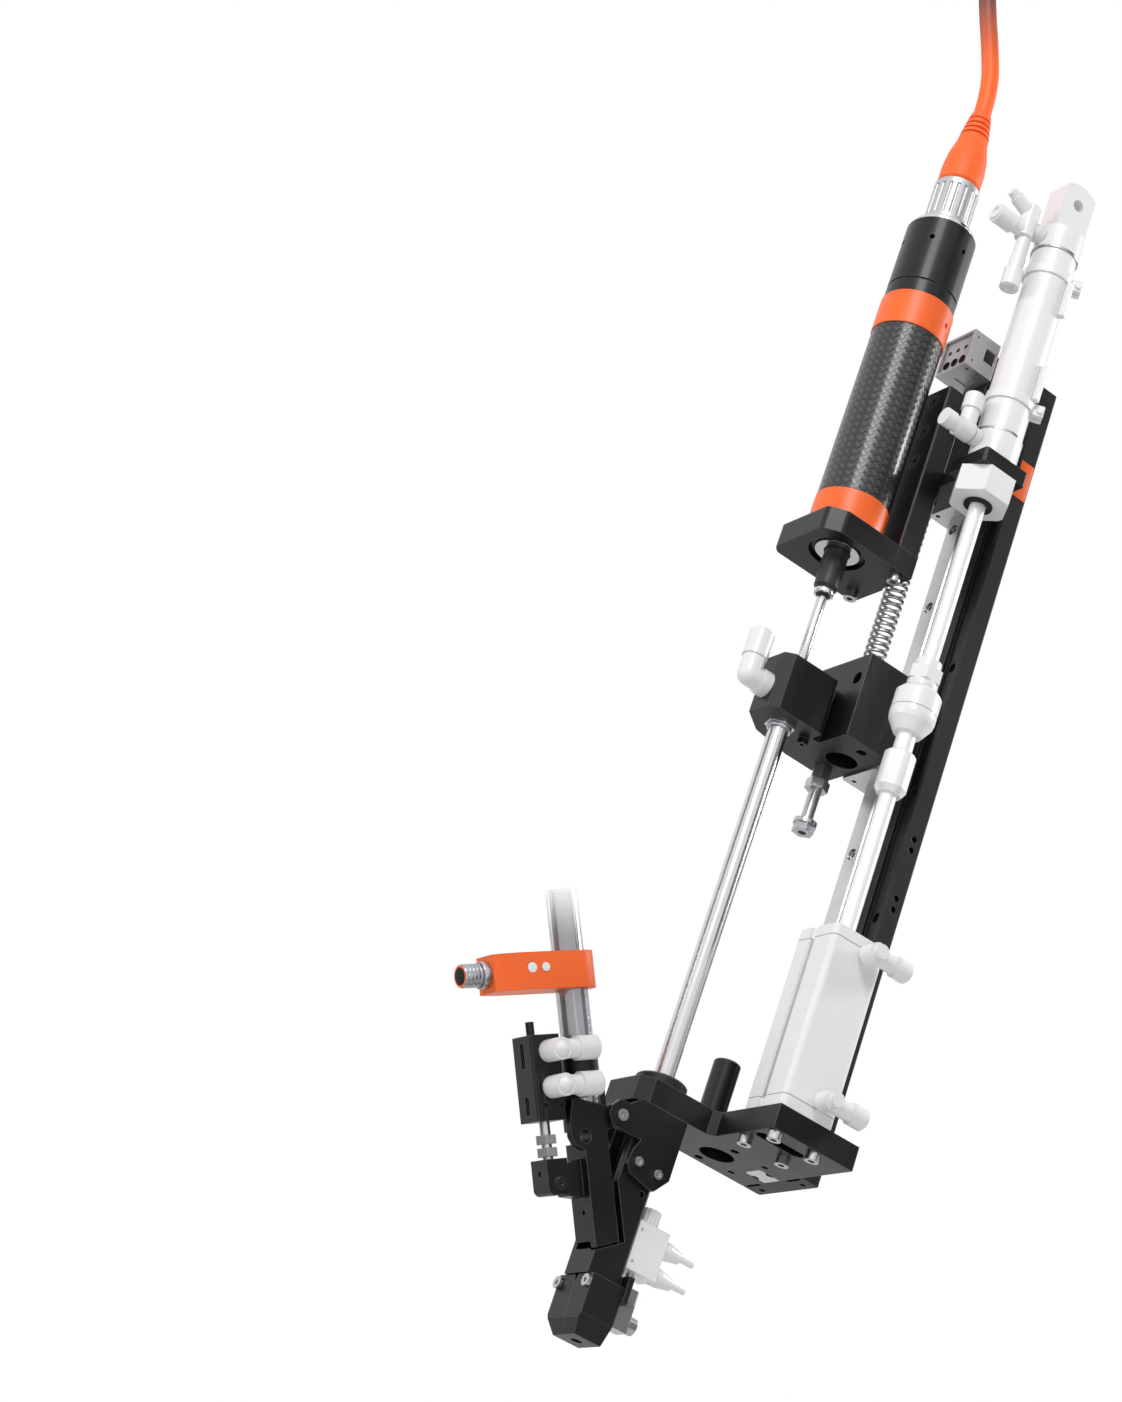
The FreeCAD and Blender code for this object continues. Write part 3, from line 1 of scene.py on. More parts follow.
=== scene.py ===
"""Screwdriving spindle module, laid out as an add-on: one operator per group of pieces."""
import math

import bpy
import bmesh
from bpy.props import FloatProperty, FloatVectorProperty, IntProperty
from mathutils import Matrix, Vector


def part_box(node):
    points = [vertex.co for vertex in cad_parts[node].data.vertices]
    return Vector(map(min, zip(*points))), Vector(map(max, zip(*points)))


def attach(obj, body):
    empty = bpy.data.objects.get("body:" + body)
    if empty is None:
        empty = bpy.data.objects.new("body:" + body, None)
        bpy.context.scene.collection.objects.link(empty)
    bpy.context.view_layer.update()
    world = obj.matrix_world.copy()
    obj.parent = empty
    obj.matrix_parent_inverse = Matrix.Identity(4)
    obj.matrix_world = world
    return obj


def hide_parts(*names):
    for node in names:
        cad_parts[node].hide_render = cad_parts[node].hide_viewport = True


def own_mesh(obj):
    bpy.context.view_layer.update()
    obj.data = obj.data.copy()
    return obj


bl_info = {
    "name": "Screwdriving Spindle Module",
    "version": (1, 0, 0),
    "blender": (4, 5, 0),
    "location": "View3D > Sidebar > Spindle",
    "description": "Finishes and fine pieces of a rail-guided screwdriving module",
    "category": "Object",
}

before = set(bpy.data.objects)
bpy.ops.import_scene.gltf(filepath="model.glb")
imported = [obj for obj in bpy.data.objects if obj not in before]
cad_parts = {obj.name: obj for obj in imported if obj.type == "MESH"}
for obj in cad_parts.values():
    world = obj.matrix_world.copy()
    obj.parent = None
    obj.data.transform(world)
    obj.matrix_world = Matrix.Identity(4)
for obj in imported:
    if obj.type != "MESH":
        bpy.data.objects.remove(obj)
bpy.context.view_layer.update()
MM = 0.001
# the tool axis and the base plate's underside, in the row frame
TOOL_X = (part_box("driver_sleeve")[0].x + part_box("driver_sleeve")[1].x) / 2
PLATE_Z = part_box("base_plate")[0].z
# the air cylinders' axis, from the tool axis, in millimetres
AIR_X, AIR_Y = 52.5, -57
# the feed arm leans away from the tool axis, about a point on it
ARM_LEAN = math.radians(29)
ARM_UP = Vector((-math.sin(ARM_LEAN), 0, math.cos(ARM_LEAN)))
ARM_OUT = Vector((-math.cos(ARM_LEAN), 0, -math.sin(ARM_LEAN)))
ARM_FOOT = Vector((0, 0, -93))
BEVEL_SEGMENTS = 2
BEVEL_ANGLE = math.radians(35)
SMOOTH_ANGLE = math.radians(32)
# the camera: where it stands, its lens, and its azimuth, elevation and roll in degrees
CAMERA_PLACE = (-0.93593, -1.42881, -0.80522)
CAMERA_LENS = 77.40
CAMERA_ANGLES = (-25.682, -24.999, 20.229)


def at(x, y, z):
    """A point given from the tool axis and the base plate's underside, in millimetres."""
    return Vector((TOOL_X + x * MM, y * MM, PLATE_Z + z * MM))


def leaning(out, y, up):
    """A point on the feed arm, given out from and up along its lean, in millimetres."""
    p = ARM_FOOT + ARM_OUT * out + ARM_UP * up
    return at(p.x, y, p.z)


# ------------------------------------------------------------------ settings
class SpindleSettings(bpy.types.PropertyGroup):
    """Sizes and colours that a user would change."""
    accent: FloatVectorProperty(name="Accent", description="Colour of the rings, boot and sensor",
                                subtype="COLOR", size=3, default=(0.95, 0.135, 0.012), min=0, max=1)
    pneumatic: FloatVectorProperty(name="Air parts", description="Colour of cylinders and fittings",
                                   subtype="COLOR", size=3, default=(0.84, 0.84, 0.84), min=0, max=1)
    plates: FloatVectorProperty(name="Plates", description="Colour of the anodised plates",
                                subtype="COLOR", size=3, default=(0.011, 0.011, 0.012), min=0, max=1)
    spring_turns: IntProperty(name="Spring turns", description="Turns of the return spring",
                              default=30, min=5, max=60)
    spring_wire: FloatProperty(name="Spring wire", description="Wire diameter of the return spring",
                               default=0.0021, min=0.001, max=0.004, unit="LENGTH")
    cable_diameter: FloatProperty(name="Cable diameter", description="Diameter of the power cable",
                                  default=0.012, min=0.004, max=0.014, unit="LENGTH")
    weave: FloatProperty(name="Weave pitch", description="Width of one tow of the carbon weave",
                         default=0.0027, min=0.001, max=0.01, unit="LENGTH")


def settings():
    return bpy.context.scene.spindle


# ------------------------------------------------------------------ shader maths
class Sock:
    """A node socket that takes part in arithmetic."""

    def __init__(self, shader, socket):
        self.shader, self.socket = shader, socket

    def _math(self, op, other=None, swap=False):
        a, b = (other, self) if swap else (self, other)
        values = {0: a} if other is None else {0: a, 1: b}
        return self.shader.node("ShaderNodeMath", {"operation": op}, values)

    def __add__(self, o): return self._math("ADD", o)
    __radd__ = __add__
    def __mul__(self, o): return self._math("MULTIPLY", o)
    __rmul__ = __mul__
    def __sub__(self, o): return self._math("SUBTRACT", o)
    def __rsub__(self, o): return self._math("SUBTRACT", o, swap=True)
    def __truediv__(self, o): return self._math("DIVIDE", o)
    def __lt__(self, o): return self._math("LESS_THAN", o)
    def __mod__(self, o): return self._math("FLOORED_MODULO", o)
    def __abs__(self): return self._math("ABSOLUTE")
    def sin(self): return self._math("SINE")
    def floor(self): return self._math("FLOOR")
    def lowest(self, o): return self._math("MINIMUM", o)
    def highest(self, o): return self._math("MAXIMUM", o)
    def angle(self, o): return self._math("ARCTAN2", o)


class Shader:
    """A material under construction: one method makes every node."""

    def __init__(self, name):
        self.material = bpy.data.materials.new(name)
        self.material.use_nodes = True
        self.tree = self.material.node_tree
        self.bsdf = self.tree.nodes["Principled BSDF"]

    def node(self, kind, sets=None, values=None, out=0):
        n = self.tree.nodes.new(kind)
        for key, value in (sets or {}).items():
            setattr(n, key, value)
        for key, value in (values or {}).items():
            self.put(n.inputs[key], value)
        return Sock(self, n.outputs[out])

    def put(self, socket, value):
        if isinstance(value, Sock):
            self.tree.links.new(value.socket, socket)
        else:
            socket.default_value = value

    def set(self, **values):
        for key, value in values.items():
            self.put(self.bsdf.inputs[key.replace("_", " ")], value)
        return self

    def place(self):
        """Object coordinates as a vector and as x, y, z."""
        v = self.node("ShaderNodeTexCoord", out="Object")
        xyz = [self.node("ShaderNodeSeparateXYZ", values={0: v}, out=i) for i in range(3)]
        return v, xyz

    def noise(self, v, scale, detail=3.0):
        return self.node("ShaderNodeTexNoise", out="Fac",
                         values={"Vector": v, "Scale": scale, "Detail": detail, "Roughness": 0.5})

    def mix(self, factor, a, b):
        n = self.tree.nodes.new("ShaderNodeMix")
        n.data_type = "RGBA"
        self.put(n.inputs[0], factor)
        self.put(n.inputs[6], a)
        self.put(n.inputs[7], b)
        return Sock(self, n.outputs[2])

    def bump(self, height, distance, strength=1.0, normal=None):
        values = {"Height": height, "Distance": distance, "Strength": strength}
        if normal is not None:
            values["Normal"] = normal
        return self.node("ShaderNodeBump", values=values)

    def soft_edge(self, radius):
        """Rounded normal near edges, and a factor that is 1 on the edges themselves, with which anodised() paints
        a highlight along them.
        """
        soft = self.node("ShaderNodeBevel", {"samples": 4}, {"Radius": radius})
        flat = self.node("ShaderNodeNewGeometry", out="Normal")
        dot = self.node("ShaderNodeVectorMath", {"operation": "DOT_PRODUCT"}, {0: soft, 1: flat}, "Value")
        highlight_mask = ((1.0 - dot) * 9.0).lowest(1.0)
        return soft, highlight_mask


def rgb(c, k=1.0):
    return (c[0] * k, c[1] * k, c[2] * k, 1.0)


def near(coord, value, half):
    """1 where coord lies within half of value."""
    return abs(coord - value) < half


# ------------------------------------------------------------------ finishes
# the fourth argument is the grey of a painted highlight along the edges
def anodised(name, colour, rough=0.36, highlight_grey=0.17, radius=0.0007):
    s = Shader(name)
    v, _ = s.place()
    soft, highlight_mask = s.soft_edge(radius)
    cloud = s.noise(v, 38.0, 4.0)
    grain = s.noise(v, 2600.0, 2.0)
    base = s.mix(cloud, rgb(colour, 0.55), rgb(colour, 1.0))
    # painted highlight: the edges are lightened towards a pale grey, standing in for light caught on rounded
    # edges
    base = s.mix(highlight_mask * 0.75, base, (highlight_grey, highlight_grey, highlight_grey * 1.02, 1.0))
    s.set(Base_Color=base, Roughness=rough + cloud * 0.12, Metallic=0.45,
          Normal=s.bump(grain, 0.00003, 0.5, soft), Coat_Weight=0.08)
    return s.material


def white_coat(name, colour, seams=()):
    """Smooth white coating, with dark parting lines at the given heights."""
    s = Shader(name)
    v, (_, _, z) = s.place()
    soft, _ = s.soft_edge(0.0006)
    cloud = s.noise(v, 25.0, 3.0)
    grain = s.noise(v, 1500.0, 2.0)
    base = s.mix(cloud, rgb(colour, 0.95), rgb(colour, 1.0))
    height = grain * 0.1
    for at_z in seams:
        line = near(z, at_z, 0.00022)
        base = s.mix(line, base, (0.16, 0.16, 0.17, 1.0))
        height = height - line
    s.set(Base_Color=base, Roughness=0.30 + cloud * 0.12, Coat_Weight=0.25,
          Normal=s.bump(height, 0.00012, 0.5, soft))
    return s.material


def turned_steel(name, colour, rough, lines=0.0, metal=1.0):
    """Bright metal with fine lines round or along the piece."""
    s = Shader(name)
    v, _ = s.place()
    soft, _ = s.soft_edge(0.0004)
    stretched = s.node("ShaderNodeMapping", values={"Vector": v, "Scale": (60.0, 60.0, 4200.0)})
    fine = s.noise(stretched, 1.0, 2.0)
    cloud = s.noise(v, 55.0, 3.0)
    base = s.mix(cloud, rgb(colour, 0.86), rgb(colour, 1.0))
    s.set(Base_Color=base, Metallic=metal, Roughness=rough + fine * 0.10,
          Normal=s.bump(fine, 0.00004, lines, soft))
    return s.material


def carbon_weave(name, pitch, radius):
    """Twill weave wrapped round the tool axis under a clear coat."""
    s = Shader(name)
    _, (x, y, z) = s.place()
    turns = round(2 * math.pi * radius / pitch) / (2 * math.pi)
    a, b = y.angle(x - TOOL_X) * turns, z / pitch
    round_, up = (a + b) * 0.5 + 400.0, (b - a) * 0.5 + 400.0
    cell = (round_.floor() + up.floor()) % 2.0
    over = cell < 0.5
    arch_u = ((round_ % 1.0) * math.pi).sin()
    arch_v = ((up % 1.0) * math.pi).sin()
    height = over * arch_u + (1.0 - over) * arch_v
    thread = ((round_ * over + up * (1.0 - over)) * 34.0).sin() * 0.06
    base = s.mix((height + thread) * (over * 0.5 + 0.35), (0.004, 0.004, 0.005, 1), (0.075, 0.075, 0.077, 1))
    s.set(Base_Color=base, Roughness=0.42 - height * 0.10, Metallic=0.3, Coat_Weight=0.30, Coat_Roughness=0.12,
          Normal=s.bump(height + thread, 0.00035, 0.6))
    return s.material


def moulded(name, colour, rough=0.42, grain_size=900.0, depth=0.00004, seams=()):
    s = Shader(name)
    v, (_, _, z) = s.place()
    soft, _ = s.soft_edge(0.0005)
    cloud = s.noise(v, 30.0, 3.0)
    grain = s.noise(v, grain_size, 3.0)
    base = s.mix(cloud, rgb(colour, 0.88), rgb(colour, 1.06))
    height = grain
    for at_z in seams:
        line = near(z, at_z, 0.0003)
        base = s.mix(line, base, rgb(colour, 0.35))
        height = height - line * 4.0
    s.set(Base_Color=base, Roughness=rough + cloud * 0.12, Normal=s.bump(height, depth, 0.6, soft))
    return s.material


def clear_tube(name):
    s = Shader(name)
    v, (_, _, z) = s.place()
    cloud = s.noise(v, 60.0, 2.0)
    # painted reflection: the clear tube's lower end is made grey and partly metallic for its chrome-like
    # highlights, fading to white higher up
    painted_reflection_fade = ((z - at(0, 0, 68).z) / 0.024).highest(0.0).lowest(1.0)
    base = s.mix(painted_reflection_fade, (0.42, 0.43, 0.45, 1), (0.93, 0.93, 0.94, 1))
    s.set(Base_Color=base, Roughness=0.07 + cloud * 0.06, Metallic=0.55 - painted_reflection_fade * 0.5,
          Alpha=0.72 - painted_reflection_fade * 0.5, Coat_Weight=0.6)
    return s.material


def cable_sheath(name, orange):
    """Moulded sheath that darkens towards the connector."""
    s = Shader(name)
    v, (_, _, z) = s.place()
    dark = ((z - at(0, 0, 780).z) / 0.055).highest(0.0).lowest(1.0)
    cloud = s.noise(v, 400.0, 3.0)
    base = s.mix(dark, rgb(orange), (0.035, 0.037, 0.042, 1.0))
    s.set(Base_Color=base, Roughness=0.42 + cloud * 0.12, Normal=s.bump(cloud, 0.00006, 0.5))
    return s.material


# ------------------------------------------------------------------ mesh helpers
def begin():
    """Leaves edit mode with nothing selected."""
    if bpy.context.object and bpy.context.object.mode != "OBJECT":
        bpy.ops.object.mode_set(mode="OBJECT")
    bpy.ops.object.select_all(action="DESELECT")


def name_it(name, body, material):
    """Names the active object, gives it its finish and slot, and lets it ride its body."""
    o = bpy.context.object
    o.name = name
    o.data.name = name
    o.data.materials.clear()
    o.data.materials.append(material)
    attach(o, body)
    return o


def settle(bevel=0.0):
    """Bevels the active object, then moves its place and turn into its mesh."""
    o = bpy.context.object
    if bevel:
        m = o.modifiers.new("bevel", "BEVEL")
        m.width, m.segments, m.limit_method, m.angle_limit = bevel, BEVEL_SEGMENTS, "ANGLE", BEVEL_ANGLE
        bpy.ops.object.modifier_apply(modifier=m.name)
    bpy.ops.object.transform_apply(location=True, rotation=True, scale=True)
    bpy.ops.object.shade_smooth_by_angle(angle=SMOOTH_ANGLE)
    return o


def aim(direction):
    """The turn that points Z along a direction."""
    return Vector(direction).to_track_quat("Z", "Y").to_euler()


def washer(name, centre, direction, r, height, hole, body, material, bevel=0.0003, sides=48):
    """A ring that is open right through: an open tube given its wall inwards."""
    begin()
    bpy.ops.mesh.primitive_cylinder_add(vertices=sides, radius=r, depth=height, location=centre,
                                        rotation=aim(direction), end_fill_type="NOTHING")
    m = bpy.context.object.modifiers.new("wall", "SOLIDIFY")
    m.thickness, m.offset, m.use_even_offset = r - hole, -1.0, True
    bpy.ops.object.modifier_apply(modifier=m.name)
    settle(bevel)
    return name_it(name, body, material)


def ring(name, centre, direction, r, height, hole, body, material, bevel=0.0003, sides=48):
    """A turned end piece: a cylinder whose outer face is inset and sunk to make a mouth."""
    begin()
    bpy.ops.mesh.primitive_cylinder_add(vertices=sides, radius=r, depth=height, location=centre,
                                        rotation=aim(direction))
    if hole:
        bpy.ops.object.mode_set(mode="EDIT")
        bpy.ops.mesh.select_all(action="DESELECT")
        bm = bmesh.from_edit_mesh(bpy.context.object.data)
        for f in bm.faces:
            f.select_set(f.normal.z > 0.9)
        bmesh.update_edit_mesh(bpy.context.object.data)
        bpy.ops.mesh.inset(thickness=r - hole)
        bpy.ops.mesh.extrude_region_move(TRANSFORM_OT_translate={
            "value": tuple(Vector(direction).normalized() * (-height * 0.8))})
        bpy.ops.object.mode_set(mode="OBJECT")
    settle(bevel)
    return name_it(name, body, material)


def plate(name, low, high, body, material, bevel=0.0004):
    """A flat block between two corners."""
    begin()
    low, high = Vector(low), Vector(high)
    bpy.ops.mesh.primitive_cube_add(size=1.0, location=(low + high) / 2, scale=high - low)
    bpy.ops.object.transform_apply(location=False, rotation=False, scale=True)
    settle(bevel)
    return name_it(name, body, material)


# ------------------------------------------------------------------ operators
FINISH = {}


class SPINDLE_OT_finishes(bpy.types.Operator):
    """Gives every construction node its finish"""
    bl_idname = "spindle.finishes"
    bl_label = "Finishes"

    def execute(self, context):
        k = settings()
        accent, white, black = k.accent, k.pneumatic, k.plates
        FINISH.update({
            "black": anodised("black_anodised", black),
            "profile": anodised("black_profile", black, 0.45, 0.10),
            "cap": anodised("black_cap", black, 0.28, 0.20, 0.0005),
            "white": white_coat("white_air_parts", white),
            "compact": white_coat("white_compact_cylinder", white, (at(0, 0, 22).z, at(0, 0, 123).z)),
            "joint": white_coat("white_joint", white, (at(0, 0, 285).z, at(0, 0, 300).z)),
            "fitting": white_coat("white_fittings", (white[0] * 0.98, white[1] * 0.98, white[2] * 0.98)),
            "rod": turned_steel("rod_pale", (0.93, 0.93, 0.93), 0.32, 0.1, 0.25),
            "chrome": turned_steel("tube_chrome", (0.70, 0.71, 0.72), 0.13, 0.1),
            "rail": turned_steel("rail_ground", (0.62, 0.63, 0.64), 0.28, 0.3),
            "steel": turned_steel("screw_zinc", (0.52, 0.53, 0.55), 0.26, 0.2),
            "alu": turned_steel("grey_aluminium", (0.54, 0.54, 0.55), 0.38, 0.2, 0.7),
            "dark": moulded("moulded_black", (0.012, 0.012, 0.013), 0.40),
            "orange": moulded("orange_ring", accent, 0.34, 1800.0, 0.00002),
            "boot": moulded("orange_boot", accent, 0.45, 500.0, 0.00005),
            "sensor": moulded("orange_sensor", accent, 0.40, 1200.0, 0.00003),
            "carbon": carbon_weave("carbon_tube", k.weave, 0.0238),
            "clear": clear_tube("clear_feed_tube"),
            "cable": cable_sheath("cable_sheath", accent),
            "label": moulded("label_orange", accent, 0.35, 2500.0, 0.00001),
            "hole": moulded("port_black", (0.004, 0.004, 0.004), 0.7),
        })
        groups = {
            "black": "base_plate tube_guide_collar stop_post intermediate_block driver_flange motor_bracket "
                     "carriage_adapter cylinder_mount_plate feed_arm swing_cylinder swing_clevis nose_body "
                     "nose_side_plates front_jaw rear_jaw",
            "profile": "backbone_profile", "cap": "driver_end_cap",
            "white": "upper_cylinder_front_cap upper_cylinder_tube upper_cylinder_rear_cap switch_bands "
                     "reed_switches jaw_cylinder",
            "compact": "lower_cylinder_body lower_cylinder_rod_head",
            "joint": "floating_joint_body",
            "fitting": "lower_flow_fittings suction_elbow upper_flow_fittings swing_fittings "
                       "jaw_cylinder_fittings",
            "rod": "upper_rod lower_rod", "chrome": "suction_tube output_bearing",
            "rail": "guide_rail lower_carriage upper_carriage",
            "steel": "rail_screws base_plate_screws stop_bolt flange_screws side_plate_bolts jaw_pins "
                     "swing_rod return_spring jaw_yoke cable_connector",
            "alu": "valve_box driver_socket coupling_nut", "dark": "bracket_screws drive_spindle",
            "orange": "driver_lower_ring driver_upper_ring", "boot": "cable_boot", "sensor": "ring_sensor",
            "carbon": "driver_sleeve", "clear": "feed_tube", "cable": "power_cable",
        }
        given = set()
        for finish, names in groups.items():
            for n in names.split():
                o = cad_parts[n]
                o.data.materials.clear()
                o.data.materials.append(FINISH[finish])
                given.add(n)
        left = set(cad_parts) - given
        if left:
            raise RuntimeError("no finish for " + ", ".join(sorted(left)))
        return {"FINISHED"}


class SPINDLE_OT_cable(bpy.types.Operator):
    """Power cable from the boot to its connector"""
    bl_idname = "spindle.cable"
    bl_label = "Power cable"

    def execute(self, context):
        z0 = (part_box("cable_boot")[1].z - PLATE_Z) / MM
        route = [(0, 0, z0), (0, 0, z0 + 24), (-10, 0, z0 + 52), (-22, 1, z0 + 81), (-33, 2, z0 + 114)]
        data = bpy.data.curves.new("power_cord", "CURVE")
        data.dimensions = "3D"
        spline = data.splines.new("NURBS")
        spline.points.add(len(route) - 1)
        for point, place in zip(spline.points, route):
            point.co = (*at(*place), 1.0)
        spline.order_u = 3
        spline.use_endpoint_u = True
        data.bevel_depth = settings().cable_diameter / 2
        data.bevel_resolution = 8
        data.resolution_u = 16
        data.use_fill_caps = True
        o = bpy.data.objects.new("power_cord", data)
        context.scene.collection.objects.link(o)
        data.materials.append(FINISH["cable"])
        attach(o, "driver_carriage")
        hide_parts("power_cable")
        at(*route[0])
        return {"FINISHED"}


class SPINDLE_OT_spring(bpy.types.Operator):
    """Coiled return spring between the block and the carriage"""
    bl_idname = "spindle.spring"
    bl_label = "Return spring"

    def execute(self, context):
        k = settings()
        low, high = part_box("return_spring")
        axis = (low + high) / 2
        coil = (high.x - low.x) / 2 - k.spring_wire / 2
        begin()
        bpy.ops.mesh.primitive_circle_add(vertices=10, radius=k.spring_wire / 2,
                                          location=(axis.x, axis.y, low.z + k.spring_wire / 2),
                                          rotation=(math.pi / 2, 0, 0))
        bpy.ops.object.transform_apply(location=False, rotation=True, scale=False)
        bpy.ops.object.mode_set(mode="EDIT")
        bpy.ops.mesh.select_all(action="SELECT")
        bpy.ops.transform.translate(value=(coil, 0, 0))
        bpy.ops.object.mode_set(mode="OBJECT")
        o = context.object
        m = o.modifiers.new("coil", "SCREW")
        m.angle = 2 * math.pi
        m.iterations = k.spring_turns
        m.screw_offset = (high.z - low.z - k.spring_wire) / k.spring_turns
        m.steps = m.render_steps = 28
        bpy.ops.object.modifier_apply(modifier=m.name)
        bpy.ops.object.mode_set(mode="EDIT")
        bpy.ops.mesh.select_all(action="SELECT")
        bpy.ops.mesh.remove_doubles(threshold=1e-6)
        bpy.ops.mesh.normals_make_consistent(inside=False)
        bpy.ops.object.mode_set(mode="OBJECT")
        settle()
        o = name_it("coil_spring", "driver_carriage", FINISH["steel"])
        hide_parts("return_spring")
        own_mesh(o)
        return {"FINISHED"}


class SPINDLE_OT_driver(bpy.types.Operator):
    """Dark cover round the output bearing, silver trims and washers on the screwdriver"""
    bl_idname = "spindle.driver"
    bl_label = "Screwdriver trims"

    def execute(self, context):
        body = "driver_carriage"
        washer("bearing_cover", at(0, 0, 389.9), (0, 0, -1), 0.0183, 0.0018, 0.0145, body, FINISH["dark"],
               0.0002, 64)
        washer("socket_rim", at(0, 0, 640.2), (0, 0, 1), 0.0212, 0.0030, 0.0195, body, FINISH["chrome"],
               0.0004, 64)
        for i, z in enumerate((421.0, 551.0)):
            washer(f"sleeve_seam_{i}", at(0, 0, z), (0, 0, 1), 0.02395, 0.0012, 0.0230, body,
                   FINISH["hole"], 0.0001, 64)
        washer("spindle_tip", at(0, 0, 356.8), (0, 0, -1), 0.0064, 0.0030, 0.0032, "spindle",
               FINISH["chrome"], 0.0003, 40)
        ring("bit_shaft", at(0, 0, 328.5), (0, 0, -1), 0.00325, 0.0530, 0, "spindle",
             FINISH["chrome"], 0.0002, 32)
        return {"FINISHED"}


class SPINDLE_OT_tube_ends(bpy.types.Operator):
    """Gland, wiper and collar rings on the suction tube and the air cylinders' rods"""
    bl_idname = "spindle.tube_ends"
    bl_label = "Tube and rod rings"

    def execute(self, context):
        steel, white, dark = FINISH["steel"], FINISH["white"], FINISH["hole"]
        for name, centre, r, h, hole, body, mat, slot in (
                ("gland_ring", at(0, 0, 258.3), 0.0078, 0.0024, 0.0062, "mid_carriage", steel, "steel_bright"),
                ("collar_wiper", at(0, 0, 21.6), 0.0088, 0.0016, 0.0066, "backbone", dark, "screw_black"),
                ("rod_wiper_low", at(AIR_X, AIR_Y, 130.6), 0.0086, 0.0016, 0.0056, "backbone", white,
                 "white_coated"),
                ("rod_wiper_up", at(AIR_X, AIR_Y, 437.3), 0.0092, 0.0018, 0.0056, "driver_carriage", dark,
                 "screw_black")):
            washer(name, centre, (0, 0, -1), r, h, hole, body, mat, 0.0003, 48)
        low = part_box("lower_cylinder_body")[0]
        plate("switch_slot", (low.x + 0.0012, -0.0567, at(0, 0, 23).z),
              (low.x + 0.0022, -0.0523, at(0, 0, 122.6).z), "backbone", FINISH["alu"],
              0.0001)
        for i, z in enumerate((487.0, 632.0)):
            washer(f"cap_groove_{i}", at(AIR_X, AIR_Y, z), (0, 0, 1), 0.01585, 0.0016, 0.0150,
                   "driver_carriage", FINISH["steel"], 0.0002, 64)
        return {"FINISHED"}


class SPINDLE_OT_valve(bpy.types.Operator):
    """Ports, vents and display window of the valve box"""
    bl_idname = "spindle.valve"
    bl_label = "Valve box details"

    def execute(self, context):
        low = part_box("valve_box")[0]
        body = "driver_carriage"
        for i, y in enumerate((-8.0, 0.0, 8.0)):
            ring(f"valve_port_{i}", (low.x + 0.0016, y * MM, low.z + 0.0070), (-1, 0, 0), 0.0031, 0.0012,
                 0.0022, body, FINISH["hole"], 0.0002, 32)
            ring(f"valve_vent_{i}", (low.x + 0.0016, y * MM, low.z + 0.0170), (-1, 0, 0), 0.0016, 0.0008,
                 0.0, body, FINISH["hole"], 0.0002, 24)
        plate("valve_window", (low.x + 0.0126, low.y + 0.0001, low.z + 0.0106),
              (low.x + 0.0204, low.y + 0.0007, low.z + 0.0194), body, FINISH["hole"],
              0.0002)
        return {"FINISHED"}


class SPINDLE_OT_label(bpy.types.Operator):
    """Bare label on the side of the backbone"""
    bl_idname = "spindle.label"
    bl_label = "Label"

    def execute(self, context):
        low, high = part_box("backbone_profile")
        plate("side_label", (low.x + 0.0012, low.y - 0.0003, at(0, 0, 480).z),
              (high.x - 0.0012, low.y + 0.0002, at(0, 0, 507).z), "backbone", FINISH["label"],
              0.0001)
        return {"FINISHED"}


class SPINDLE_OT_sleeves(bpy.types.Operator):
    """Release rings in the mouths of the push-in fittings"""
    bl_idname = "spindle.sleeves"
    bl_label = "Release rings"

    def execute(self, context):
        white = FINISH["fitting"]
        ports = [("elbow_mouth", at(-32, 0, 309.4), (0, 0, 1), 0.0062, 0.0038, "mid_carriage"),
                 ("front_mouth", at(26.9, -57, 505.4), (0, 0, 1), 0.0056, 0.0030, "driver_carriage"),
                 ("tee_side_mouth", at(-0.6, -57, 635.5), (-1, 0, 0), 0.0054, 0.0031, "driver_carriage"),
                 ("tee_low_mouth", at(25.9, -57, 591.2), (0, 0, -1), 0.0054, 0.0033, "driver_carriage"),
                 ("swing_mouth_a", leaning(0.4, -18.2, 120.5), -ARM_OUT, 0.0058, 0.0031, "feed_arm_body"),
                 ("swing_mouth_b", leaning(0.4, -18.2, 100.5), -ARM_OUT, 0.0058, 0.0031, "feed_arm_body")]
        for z in (26.0, 119.0):
            ports.append((f"low_mouth_{int(z)}", at(81.8, -85.5, z), (1, 0, 0), 0.0056, 0.0029, "backbone"))
        for name, centre, way, r, hole, body in ports:
            ring(name, centre, way, r, 0.0016, hole, body, white, 0.0003, 40)
        return {"FINISHED"}


class SPINDLE_OT_sensor(bpy.types.Operator):
    """Windows and metal plug of the ring sensor"""
    bl_idname = "spindle.sensor"
    bl_label = "Sensor details"

    def execute(self, context):
        for name, out, r in (("window_left", 33.9, 0.0030), ("window_right", 24.8, 0.0026)):
            ring(name, leaning(out, -14.05, 167.2), (0, -1, 0), r, 0.0010, 0, "feed_arm_body",
                 FINISH["white"], 0.0002, 32)
        ring("plug_collar", leaning(58.5, 0, 165.5), ARM_OUT, 0.0077, 0.0050, 0, "feed_arm_body",
             FINISH["steel"], 0.0004)
        ring("plug_barrel", leaning(66.6, 0, 165.5), ARM_OUT, 0.0064, 0.0126, 0, "feed_arm_body",
             FINISH["steel"], 0.0003)
        for i in range(5):
            ring(f"plug_thread_{i}", leaning(62.2 + i * 2.3, 0, 165.5), ARM_OUT, 0.0068, 0.0012, 0,
                 "feed_arm_body", FINISH["steel"], 0.0003)
        ring("plug_face", leaning(72.8, 0, 165.5), ARM_OUT, 0.0049, 0.0012, 0, "feed_arm_body",
             FINISH["hole"], 0.0002, 32)
        washer("tube_stop_ring", leaning(0, 0, 119.2), ARM_UP, 0.0109, 0.0024, 0.0094, "feed_arm_body",
               FINISH["steel"], 0.0003)
        return {"FINISHED"}


